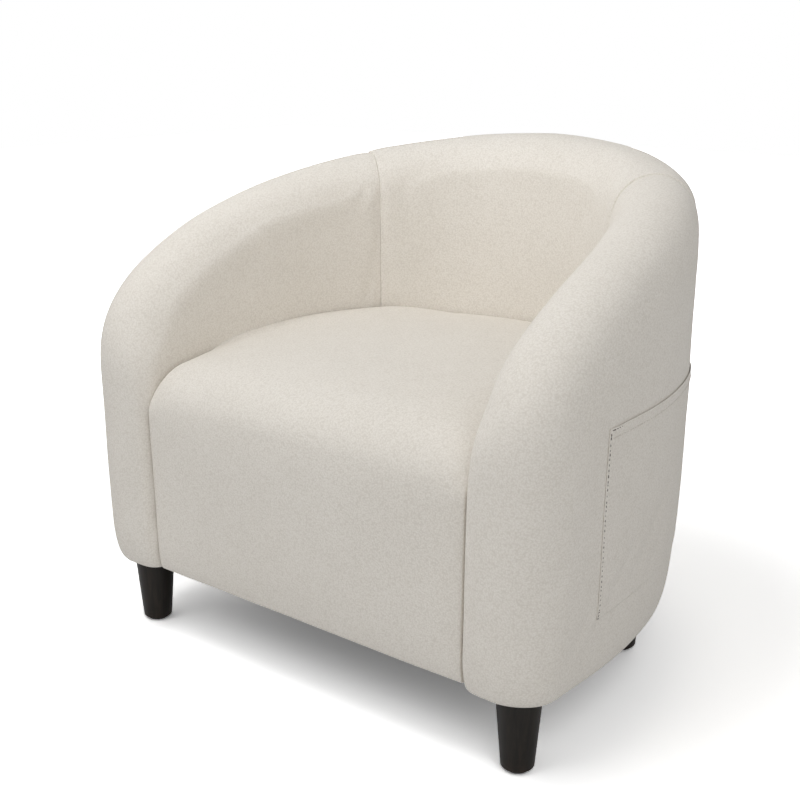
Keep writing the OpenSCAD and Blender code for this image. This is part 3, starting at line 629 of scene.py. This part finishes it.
def on_arm(s, z):
    """The place on the right arm's outside at s from its front and height z, and the way out."""
    length = 2 * HALF_LENGTH - s
    near, far = (Vector((*(float(c) for c in plan(length, LEAN * (z - SHOULDER) + out)), z))
                 for out in (0, OUTSIDE))
    outward = (far - near).normalized()
    return arm_tree.ray_cast(far, -outward, DROP)[0], outward


def lift(u, v):
    """Height of the pocket's back over the arm, at shares u along its width and v up its height."""
    from_side = min(u, 1 - u) * POCKET_WIDTH
    from_mouth = (1 - v) * POCKET_HEIGHT
    fullness = POCKET_FULL * (1 - (2 * u - 1) ** 4) * v ** 1.5
    hem = HEM_PROUD * min(1, max(0, (HEM - from_mouth) / 0.002))
    dent = STITCH_DENT * math.exp(-((from_side - STITCH_IN) / 0.0014) ** 2)
    return POCKET_OFF + fullness + hem * min(1, from_side / 0.01) - dent


def pocket_point(u, v, above=0.0):
    """A place on the pocket's back, or above it."""
    hit, outward = on_arm(POCKET_FRONT + u * POCKET_WIDTH, POCKET_FOOT + v * POCKET_HEIGHT)
    return hit + outward * (lift(u, v) + above)


# %% Lay the pocket on the arm
edge_steps = np.array([0, 0.0014, 0.0028, 0.0042, 0.0065, 0.0095])
pocket_u = np.concatenate([edge_steps / POCKET_WIDTH, np.linspace(0.038, 0.962, 62),
                           1 - edge_steps[::-1] / POCKET_WIDTH])
pocket_v = np.concatenate([np.linspace(0, 0.925, 40), [0.933, 0.942, 0.955, 0.97, 0.985, 1]])
across, tall = len(pocket_u), len(pocket_v)
points = [pocket_point(u, v) for u in pocket_u for v in pocket_v]
faces = [[i * tall + j, i * tall + j + 1, (i + 1) * tall + j + 1, (i + 1) * tall + j]
         for i in range(across - 1) for j in range(tall - 1)]
uv_at = [(u * POCKET_WIDTH, v * POCKET_HEIGHT) for u in pocket_u for v in pocket_v]
pocket = new_piece("side_pocket_cloth", points, faces, [[uv_at[g] for g in face] for face in faces])
outward = on_arm(POCKET_FRONT + 0.1, POCKET_FOOT + 0.1)[1]
if pocket.data.polygons[len(faces) // 2].normal.dot(outward) < 0:
    pocket.data.flip_normals()
select_only(pocket)
thick = pocket.modifiers.new("cloth", "SOLIDIFY")
thick.thickness, thick.offset = POCKET_CLOTH, 1
bpy.ops.object.modifier_apply(modifier="cloth")
smooth(pocket)
print("pocket stands off the arm by up to",
      round((max(lift(u, v) for u in pocket_u for v in pocket_v) + POCKET_CLOTH) * 1000, 1), "mm")

# %% [markdown]
# ## Stitches
#
# One stitch is a short length of thread that comes up through the cloth and goes down again. It is
# modelled once, as a sphere with few faces that is drawn out long, and copied along each seam. The
# two side seams are sewn in a dark thread that sinks into the thick cloth, so it shows as a line of
# uneven dots, boldest near the mouth. The thread's near-black colour is also painted shade: it
# stands for the shade in the needle holes. Short bars lock its ends, one at the mouth and three at
# the foot. The hem is sewn in cream.

# %% Model one stitch
STITCH_PITCH, STITCH_LENGTH, THREAD = 0.0060, 0.0036, 0.0015


def take_shape(primitive, scale=(1, 1, 1)):
    """Points and faces of a primitive, which is then removed."""
    shape = vectors(primitive) * scale, [list(p.vertices) for p in primitive.data.polygons]
    bpy.data.objects.remove(primitive)
    return shape


bpy.ops.mesh.primitive_uv_sphere_add(segments=6, ring_count=6, radius=0.5, location=(0, 0, 0),
                                     rotation=(0, math.pi / 2, 0))
bpy.ops.object.transform_apply()
one_stitch = take_shape(bpy.context.object, (STITCH_LENGTH, THREAD, THREAD))
print("one stitch has", len(one_stitch[1]), "faces")

# %% Helpers that copy a small shape along a line
dice = np.random.default_rng(7)  # seeded, so that every run draws the same


def copies(name, shape, places):
    """One piece that holds a copy of a small shape at each place, a 4 by 4 matrix."""
    points, faces = [], []
    for place in places:
        first = len(points)
        points += [place @ Vector(p) for p in shape[0]]
        faces += [[first + i for i in face] for face in shape[1]]
    piece = new_piece(name, points, faces)
    select_only(piece)
    bpy.ops.object.shade_smooth()
    print(name, len(places), "copies,", len(faces), "faces")
    return piece


def along_line(line, pitch, uneven=0.0, last=1.0):
    """Places every pitch along a line of points, X along it. last is the last one's size."""
    points = np.array([list(p) for p in line])
    run = distances(points[None], 1)[0]
    places = []
    for d in np.arange(pitch / 2, run[-1], pitch):
        size = (1 + (last - 1) * d / run[-1]) * (1 + uneven * (dice.random() - 0.6))
        d += uneven * pitch * (dice.random() - 0.5)
        here, ahead = (Vector([np.interp(d + a, run, points[:, c]) for c in range(3)])
                       for a in (0, 0.002))
        forward = (ahead - here).normalized()
        away = Vector((here.x, here.y, 0)).normalized()
        side = away.cross(forward).normalized()
        turn = Matrix((forward, side, forward.cross(side))).transposed().to_4x4()
        places.append(Matrix.Translation(here) @ turn @ Matrix.Scale(size, 4))
    return places


# %% Sew the pocket
BAR, TACK = 0.026, 0.006  # lengths of the bars at the mouth and foot
THREAD_UP = 0.0001        # the middle of a stitch is this far over the cloth


def stitch_line(u_from, v_from, u_to, v_to, steps=60):
    """Points on the pocket's front, straight from one place on it to another."""
    share = np.linspace(0, 1, steps)
    return [pocket_point(u_from + (u_to - u_from) * t, v_from + (v_to - v_from) * t,
                         POCKET_CLOTH + THREAD_UP) for t in share]


side_in = STITCH_IN / POCKET_WIDTH
hem_v = 1 - (HEM - 0.002) / POCKET_HEIGHT
bar, tack = BAR / POCKET_WIDTH, TACK / POCKET_WIDTH
dark_places = []
for u in (side_in, 1 - side_in):  # each side seam, with the bars at its foot
    dark_places += along_line(stitch_line(u, 0.985, u, 0.004), STITCH_PITCH, 0.5, 0.6)
    for v in (0.006, 0.024, 0.042):
        dark_places += along_line(stitch_line(u - tack / 2, v, u + tack / 2, v, 4), 0.0055, 0, 0.6)
for a, b in ((side_in, side_in + bar), (1 - side_in, 1 - side_in - bar)):  # bars at the mouth
    dark_places += along_line(stitch_line(a, 0.988, b, 0.988, 12), STITCH_PITCH * 0.8, 0.5, 0.5)
side_stitches = copies("pocket_side_stitches", one_stitch, dark_places)
hem_stitches = copies("pocket_hem_stitches", one_stitch,
                      along_line(stitch_line(0.02, hem_v, 0.98, hem_v, 90), STITCH_PITCH, 0.3, 1))

# %% [markdown]
# ## Staples under the chair
#
# The black cloth under the chair is stapled to the base ring all round. One staple is a thin
# rounded wire, and copies follow the edge of the cloth.

# %% Model one staple
STAPLE_LENGTH, STAPLE_WIRE = 0.010, 0.0008

bpy.ops.mesh.primitive_cube_add(size=1, location=(0, 0, 0))
bpy.context.object.scale = (STAPLE_LENGTH, STAPLE_WIRE, STAPLE_WIRE)
bpy.ops.object.transform_apply()
edit_all(bpy.ops.mesh.bevel, offset=STAPLE_WIRE * 0.25, segments=1)
one_staple = take_shape(bpy.context.object)
print("one staple has", len(one_staple[1]), "faces")

# %% Copy the staple round the dust cover
STAPLE_PITCH = 0.042
STAPLE_IN = 0.057                    # in from the outside of the wall
LINE_ENDS = 0.075                    # the round line ends this far from the arm fronts
FRONT_IN, FRONT_HALF = 0.010, 0.285  # the front line: its inset and half its length

dust_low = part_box("dust_cover")[0]
round_x, round_y = plan(np.linspace(LINE_ENDS, 2 * HALF_LENGTH - LINE_ENDS, 200), -STAPLE_IN)
staple_z = dust_low[2] - STAPLE_WIRE * 0.15
edge_line = [(x, y, staple_z) for x, y in zip(round_x, round_y)]
front_y = dust_low[1] + FRONT_IN
front_line = [(x, front_y, staple_z) for x in np.linspace(-FRONT_HALF, FRONT_HALF, 60)]
staples = copies("dust_cover_staples", one_staple,
                 along_line(edge_line, STAPLE_PITCH) + along_line(front_line, STAPLE_PITCH))

# %% [markdown]
# ## Materials
#
# A helper adds a shader node and fills its sockets, so that each material reads as a short recipe.
# Patterns that stay put in space read Object coordinates. Threads read the UV map, which is laid
# out in metres, so that a thread is as thick on a long panel as on a short one.

# %% Helpers for shader nodes
def node(tree, kind, sockets=None, **settings):
    """Adds a node. sockets gives a value or another node's output for each named input."""
    made = tree.nodes.new("ShaderNode" + kind)
    for key, value in settings.items():
        setattr(made, key, value)
    for key, value in (sockets or {}).items():
        if isinstance(value, bpy.types.NodeSocket):
            tree.links.new(value, made.inputs[key])
        else:
            made.inputs[key].default_value = value
    return made


def maths(tree, operation, a, b=0.0):
    return node(tree, "Math", {0: a, 1: b}, operation=operation).outputs[0]


def stretch(tree, coordinates, scale):
    return node(tree, "Mapping", {"Vector": coordinates, "Scale": scale}).outputs[0]


def noise_value(tree, coordinates, scale, detail=2.0, roughness=0.5, distortion=0.0):
    return node(tree, "TexNoise", {"Vector": coordinates, "Scale": scale, "Detail": detail,
                                   "Roughness": roughness, "Distortion": distortion}).outputs[0]


def blend(tree, a, share_a, b, share_b):
    """The sum of two values, each times its share."""
    return maths(tree, "ADD", maths(tree, "MULTIPLY", a, share_a), maths(tree, "MULTIPLY", b, share_b))


def ramp(tree, value, stops):
    """A colour ramp from (place, colour) pairs. A single number stands for a grey."""
    made = node(tree, "ValToRGB", {0: value})
    elements = made.color_ramp.elements
    while len(elements) < len(stops):
        elements.new(0.5)
    for element, (place, color) in zip(elements, stops):
        element.position = place
        element.color = (*(color if isinstance(color, tuple) else (color,) * 3), 1)
    return made.outputs[0]


# %% Helpers that start and end a material
def new_material(name):
    """An empty material, its nodes, and the Object coordinates."""
    material = bpy.data.materials.new(name)
    material.use_nodes = True
    tree = material.node_tree
    tree.nodes.clear()
    return material, tree, node(tree, "TexCoord").outputs["Object"]


def finish_material(tree, shader):
    node(tree, "OutputMaterial", {"Surface": shader.outputs[0]})


def surface(tree, color, roughness, bump=None, **more):
    """Ends a material with the usual shader. bump is (height, strength, distance in metres).

    more holds the other sockets, with _ for the spaces in their names.
    """
    sockets = {"Base Color": color, "Roughness": roughness}
    sockets.update({key.replace("_", " "): value for key, value in more.items()})
    if bump:
        bumped = dict(zip(("Height", "Strength", "Distance"), bump))
        sockets["Normal"] = node(tree, "Bump", bumped).outputs[0]
    finish_material(tree, node(tree, "BsdfPrincipled", sockets))


# %% [markdown]
# ### Cream boucle
#
# The cloth is a soft cream weave with slubs: yarns of uneven thickness, little more than a
# millimetre apart, that rise into small nubs. Two noises drawn out along the two thread directions
# make the slubs, and small cells make the nubs. Their sum drives the bump. It also drives the
# colour, gently: painted shade darkens the hollows between yarns a little, and a painted
# highlight turns a few nubs into pale flecks. Wool-like cloth has no gloss, only a faint sheen.

# %% Cream cloth
# Painted shade for the hollows between yarns, the cream itself, and a painted highlight for the nubs.
CREAM_HOLLOW_SHADE = (0.715, 0.672, 0.607)
CREAM = (0.800, 0.760, 0.697)
CREAM_NUB_HIGHLIGHT = (0.880, 0.850, 0.802)


def cloth_material():
    material, tree, place = new_material("cream_boucle")
    uv = node(tree, "UVMap", uv_map="cloth").outputs[0]
    weft = noise_value(tree, stretch(tree, uv, (170, 820, 1)), 1.0, 2.0, 0.6, 0.3)
    warp = noise_value(tree, stretch(tree, uv, (820, 170, 1)), 1.0, 2.0, 0.6, 0.3)
    yarn = maths(tree, "MAXIMUM", weft, warp)
    wobble = node(tree, "TexNoise", {"Vector": place, "Scale": 190, "Detail": 1})
    shift = node(tree, "VectorMath", {0: wobble.outputs["Color"], "Scale": 0.003}, operation="SCALE")
    moved = node(tree, "VectorMath", {0: place, 1: shift.outputs[0]}, operation="ADD")
    cells = node(tree, "TexVoronoi", {"Vector": moved.outputs[0], "Scale": 460, "Smoothness": 0.5},
                 feature="SMOOTH_F1")
    nub = maths(tree, "SUBTRACT", 0.9, cells.outputs["Distance"])
    height = blend(tree, yarn, 0.55, nub, 0.45)
    patches = maths(tree, "SUBTRACT", noise_value(tree, place, 30), 0.5)
    slow = maths(tree, "SUBTRACT", noise_value(tree, place, 5.5), 0.5)
    shade = blend(tree, blend(tree, height, 1, patches, 0.10), 1, slow, 0.12)
    # Painted shade in the hollows and a painted highlight on the nubs, over random patches of tone.
    color = ramp(tree, shade, [(0.34, CREAM_HOLLOW_SHADE), (0.56, CREAM), (0.82, CREAM_NUB_HIGHLIGHT)])
    surface(tree, color, 0.95, (height, 0.40, 0.0012),
            Specular_IOR_Level=0.15, Sheen_Weight=0.12, Sheen_Roughness=0.6)
    return material


cream_cloth = cloth_material()
print(cream_cloth.name, len(cream_cloth.node_tree.nodes), "nodes")

# %% [markdown]
# ### Thread, and the black cloth under the chair
#
# Thread is twisted, so bands that run slantwise give it its lay. The cloth under the chair is not
# woven: its fibres are pressed together and lie in all directions.

# %% Thread and dust cloth
def thread_material(name, dark, light):
    material, tree, place = new_material(name)
    twist = node(tree, "TexWave", {"Vector": place, "Scale": 700, "Distortion": 1.5, "Detail": 1},
                 bands_direction="DIAGONAL").outputs["Fac"]
    surface(tree, ramp(tree, twist, [(0.1, dark), (0.9, light)]), 0.7, (twist, 0.4, 0.0002))
    return material


def fibre_material(name, dark, light, scale, depth, roughness=0.95):
    """Cloth of fibres that lie in all directions, such as felt or pressed cloth."""
    material, tree, place = new_material(name)
    fibres = noise_value(tree, place, scale, 5, 0.7, 2.0)
    patches = noise_value(tree, place, scale / 12)
    color = ramp(tree, blend(tree, fibres, 0.7, patches, 0.3), [(0.3, dark), (0.7, light)])
    surface(tree, color, roughness, (fibres, 0.5, depth), Specular_IOR_Level=0.2)
    return material


# The dark thread is partly painted shade: its near-black colour also stands for the shade in the needle
# holes.
dark_thread_and_hole_shade = thread_material("dark_thread_and_hole_shade", (0.035, 0.028, 0.022), (0.11, 0.09, 0.075))
cream_thread = thread_material("cream_thread", (0.60, 0.56, 0.50), (0.76, 0.72, 0.66))
dust_cloth = fibre_material("black_dust_cloth", (0.008, 0.008, 0.009), (0.035, 0.035, 0.037),
                            900, 0.0003)
felt_grey = fibre_material("grey_felt", (0.16, 0.155, 0.15), (0.40, 0.39, 0.38), 500, 0.0008)
print("thread and fibres:", dark_thread_and_hole_shade.name, cream_thread.name, dust_cloth.name, felt_grey.name)

# %% [markdown]
# ### Wood
#
# The legs are turned from hardwood, stained a dark espresso and lacquered satin. Grain is noise
# drawn out along the leg, with finer pores in it. The lacquer fills most of the grain, so the bump
# is slight and the gloss comes from a thin coat. Near the foot the stain is worn a little lighter.
# The frame's pine parts are bare, and plywood shows its layers at the edges.

# %% Leg, pine, plywood and fibreboard
def leg_material():
    material, tree, place = new_material("espresso_wood")
    grain = noise_value(tree, stretch(tree, place, (1, 1, 0.06)), 150, 4, 0.6, 0.8)
    pores = noise_value(tree, stretch(tree, place, (1, 1, 0.03)), 900)
    height = node(tree, "SeparateXYZ", {0: place}).outputs["Z"]
    worn = maths(tree, "MULTIPLY", maths(tree, "SUBTRACT", 0.018, height), 14)
    shade = maths(tree, "ADD", blend(tree, grain, 1, pores, 0.15), maths(tree, "MAXIMUM", worn, 0.0))
    color = ramp(tree, shade, [(0.35, (0.0050, 0.0036, 0.0026)), (0.62, (0.0125, 0.0090, 0.0062)),
                               (0.95, (0.028, 0.019, 0.013))])
    gloss = ramp(tree, grain, [(0.2, 0.30), (0.8, 0.46)])
    surface(tree, color, gloss, (pores, 0.15, 0.0003),
            Specular_IOR_Level=0.3, Coat_Weight=0.10, Coat_Roughness=0.25)
    return material


def bare_wood(name, dark, light, layers=0.0):
    """Bare wood with grain along X. Plywood also shows layers up its edges, that many per metre."""
    material, tree, place = new_material(name)
    grain = noise_value(tree, stretch(tree, place, (0.15, 1, 1)), 90, 4, 0.6, 1.2)
    if layers:
        height = node(tree, "SeparateXYZ", {0: place}).outputs["Z"]
        layer = maths(tree, "FRACT", maths(tree, "MULTIPLY", height, layers))
        grain = blend(tree, grain, 0.6, maths(tree, "GREATER_THAN", layer, 0.5), 0.35)
    surface(tree, ramp(tree, grain, [(0.3, dark), (0.75, light)]), 0.7, (grain, 0.2, 0.0004))
    return material


espresso = leg_material()
pine = bare_wood("bare_pine", (0.52, 0.33, 0.16), (0.78, 0.58, 0.34))
plywood = bare_wood("birch_plywood", (0.48, 0.32, 0.17), (0.74, 0.58, 0.38), layers=350)
fibreboard = fibre_material("brown_fibreboard", (0.16, 0.09, 0.045), (0.33, 0.21, 0.12), 700, 0.0003,
                            roughness=0.8)
print("wood:", espresso.name, pine.name, plywood.name, fibreboard.name)

# %% [markdown]
# ### Webbing, nylon and zinc
#
# Elastic webbing is woven across its width in fine ribs. The glides are moulded nylon, scuffed
# where they slide. The springs and fastenings are zinc plated: metal, with a dull patchy shine.

# %% Webbing, nylon and zinc
def webbing_material():
    material, tree, place = new_material("black_webbing")
    ribs = node(tree, "TexWave", {"Vector": place, "Scale": 140, "Distortion": 0.4},
                bands_direction="Z").outputs["Fac"]
    color = ramp(tree, ribs, [(0.2, (0.012, 0.012, 0.013)), (0.8, (0.05, 0.05, 0.052))])
    surface(tree, color, 0.8, (ribs, 0.6, 0.0004))
    return material


def patchy_material(name, scales, scale, roughness, gloss, colors, metallic=0.0):
    """A hard surface whose gloss and colour change in patches. gloss and colors are ramps."""
    material, tree, place = new_material(name)
    patches = noise_value(tree, stretch(tree, place, scales), scale, 3, roughness)
    surface(tree, ramp(tree, patches, colors), ramp(tree, patches, gloss), Metallic=metallic)
    return material


webbing = webbing_material()
nylon = patchy_material("black_nylon", (1, 0.2, 1), 500, 0.7,
                        [(0.3, 0.35), (0.7, 0.6)], [(0.4, 0.010), (0.8, 0.03)])
zinc = patchy_material("zinc_steel", (1, 1, 1), 220, 0.6, [(0.3, 0.28), (0.7, 0.5)],
                       [(0.3, (0.50, 0.52, 0.54)), (0.7, (0.68, 0.69, 0.70))], 1.0)

# %% [markdown]
# ### Which piece has which finish
#
# The pieces of the frame model keep their own shapes and only get a material. A name's first words
# say what kind of piece it is, so one short table finishes them all.

# %% Finish the pieces of the frame
def finish_piece(piece, material):
    piece.data.materials.clear()
    piece.data.materials.append(material)


finish_of = {
    plywood: ("base_ring", "seat_ring", "front_rail", "arm_rail", "back_rail", "lumbar_rail"),
    pine: ("corner_block", "arm_front_post", "arm_rear_post", "back_post", "side_strut"),
    fibreboard: ("arm_board", "back_board"),
    webbing: ("arm_webbing", "back_webbing"),
    felt_grey: ("spring_felt",),
    dust_cloth: ("dust_cover",),
    espresso: ("leg_front", "leg_rear"),
    nylon: ("glide_front", "glide_rear"),
    zinc: ("seat_spring", "front_spring_clips", "rear_spring_clips", "spring_tie_wires",
           "frame_screws", "leg_bolts", "leg_t_nuts"),
    cream_cloth: ("arm_cover", "back_cover", "seat_cover", "side_pocket",
                  "arm_foam", "back_foam", "seat_foam"),
}
finished = 0
for material, starts in finish_of.items():
    for name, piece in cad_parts.items():
        if name.startswith(starts):
            finish_piece(piece, material)
            finished += 1
print(finished, "of", len(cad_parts), "frame pieces finished")

# %% [markdown]
# ## Attach the new pieces
#
# Every new piece gets its finish and is parented to the body that it moves with, and the frame
# model's covers, foam and pocket that the new pieces replace are hidden. The chair has no joints,
# so everything rides on the one body.

# %% Finish, ride and hide what is replaced
finishes = [(piece, cream_cloth) for piece in (arm_left, arm_right, back, seat, pocket)]
finishes += [(side_stitches, dark_thread_and_hole_shade), (hem_stitches, cream_thread), (staples, zinc)]
for piece, material in finishes:
    finish_piece(piece, material)
    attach(piece, "root")
print(len(finishes), "new pieces ride on root")

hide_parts("arm_cover_left", "arm_foam_left")
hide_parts("arm_cover_right", "arm_foam_right")
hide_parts("back_cover", "back_foam")
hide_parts("seat_cover", "seat_foam")
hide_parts("side_pocket")

# %% [markdown]
# ## Floor and backdrop
#
# The chair stands on a white floor that runs into a white background. In a studio such a floor is
# lit until it is pure white, and only the chair's soft shadow shows on it. So the camera sees the
# floor brighter than the floor shines on the chair. Away from the chair it also glows white for
# the camera, which hides its edge.

# %% Floor
FLOOR_COLOR, SHOWN_COLOR = 0.74, 2.2  # for the chair's light, and for the camera
CLEAR_FROM, CLEAR_TO = 0.5, 1.8       # distances over which the floor turns white


def floor_material():
    material, tree, place = new_material("white_floor")
    camera_ray = node(tree, "LightPath").outputs["Is Camera Ray"]
    away = node(tree, "VectorMath", {0: place}, operation="LENGTH").outputs["Value"]
    glow = node(tree, "MapRange", {"Value": away, 1: CLEAR_FROM, 2: CLEAR_TO},
                interpolation_type="SMOOTHSTEP").outputs[0]
    shown = node(tree, "Mix", {0: camera_ray, 2: FLOOR_COLOR, 3: SHOWN_COLOR}, data_type="FLOAT")
    diffuse = node(tree, "BsdfDiffuse", {"Color": shown.outputs[0]})
    glowing = node(tree, "Emission", {"Color": (1, 1, 1, 1),
                                      "Strength": maths(tree, "MULTIPLY", camera_ray, glow)})
    finish_material(tree, node(tree, "AddShader", {0: diffuse.outputs[0], 1: glowing.outputs[0]}))
    return material


bpy.ops.mesh.primitive_plane_add(size=14, location=(0, 0, 0))
floor = bpy.context.object
floor.name = "floor"
floor.data.materials.append(floor_material())

# %% [markdown]
# ## Light
#
# The light is a studio's: white walls all round that fade towards a dark ceiling, and four soft
# lamps. One hangs above the seat, one stands high in front, a weak one on the left, and the
# strongest on the right.

# %% Walls and ceiling
WALL_LEVEL, CEILING_LEVEL = 0.90, 0.06  # how brightly they shine

world = bpy.data.worlds.new("studio")
world.use_nodes = True
bpy.context.scene.world = world
tree = world.node_tree
upward = node(tree, "SeparateXYZ", {0: node(tree, "TexCoord").outputs["Generated"]}).outputs[2]
level = node(tree, "MapRange", {"Value": upward, 3: WALL_LEVEL, 4: CEILING_LEVEL})
path = node(tree, "LightPath")
seen = maths(tree, "MAXIMUM", path.outputs["Is Camera Ray"],
             maths(tree, "MAXIMUM", path.outputs["Is Glossy Ray"], path.outputs["Is Transmission Ray"]))
surround = node(tree, "Mix", {0: seen, 2: level.outputs[0], 3: 1.0}, data_type="FLOAT")
tree.links.new(surround.outputs[0], tree.nodes["Background"].inputs["Strength"])
tree.nodes["Background"].inputs["Color"].default_value = (1, 1, 1, 1)

# %% Lamps
AIM = Vector((0, 0, 0.35))  # they all point at the middle of the chair

for name, location, size, power in (("seat_light", (-0.32, -0.48, 1.9), 1.0, 9.4),
                                    ("front_light", (-0.6, -2.2, 2.6), 1.8, 11.5),
                                    ("left_light", (-2.0, -0.8, 2.6), 1.8, 4.5),
                                    ("right_light", (2.1, -1.5, 2.3), 1.8, 15.8)):
    data = bpy.data.lights.new(name, "AREA")
    data.shape, data.size, data.energy = "DISK", size, power
    light = bpy.data.objects.new(name, data)
    bpy.context.collection.objects.link(light)
    light.location = location
    light.rotation_mode = "QUATERNION"
    light.rotation_quaternion = (AIM - Vector(location)).to_track_quat("-Z", "Y")
    light.visible_camera = False

# %% Plain view transform
bpy.context.scene.view_settings.view_transform = "Standard"
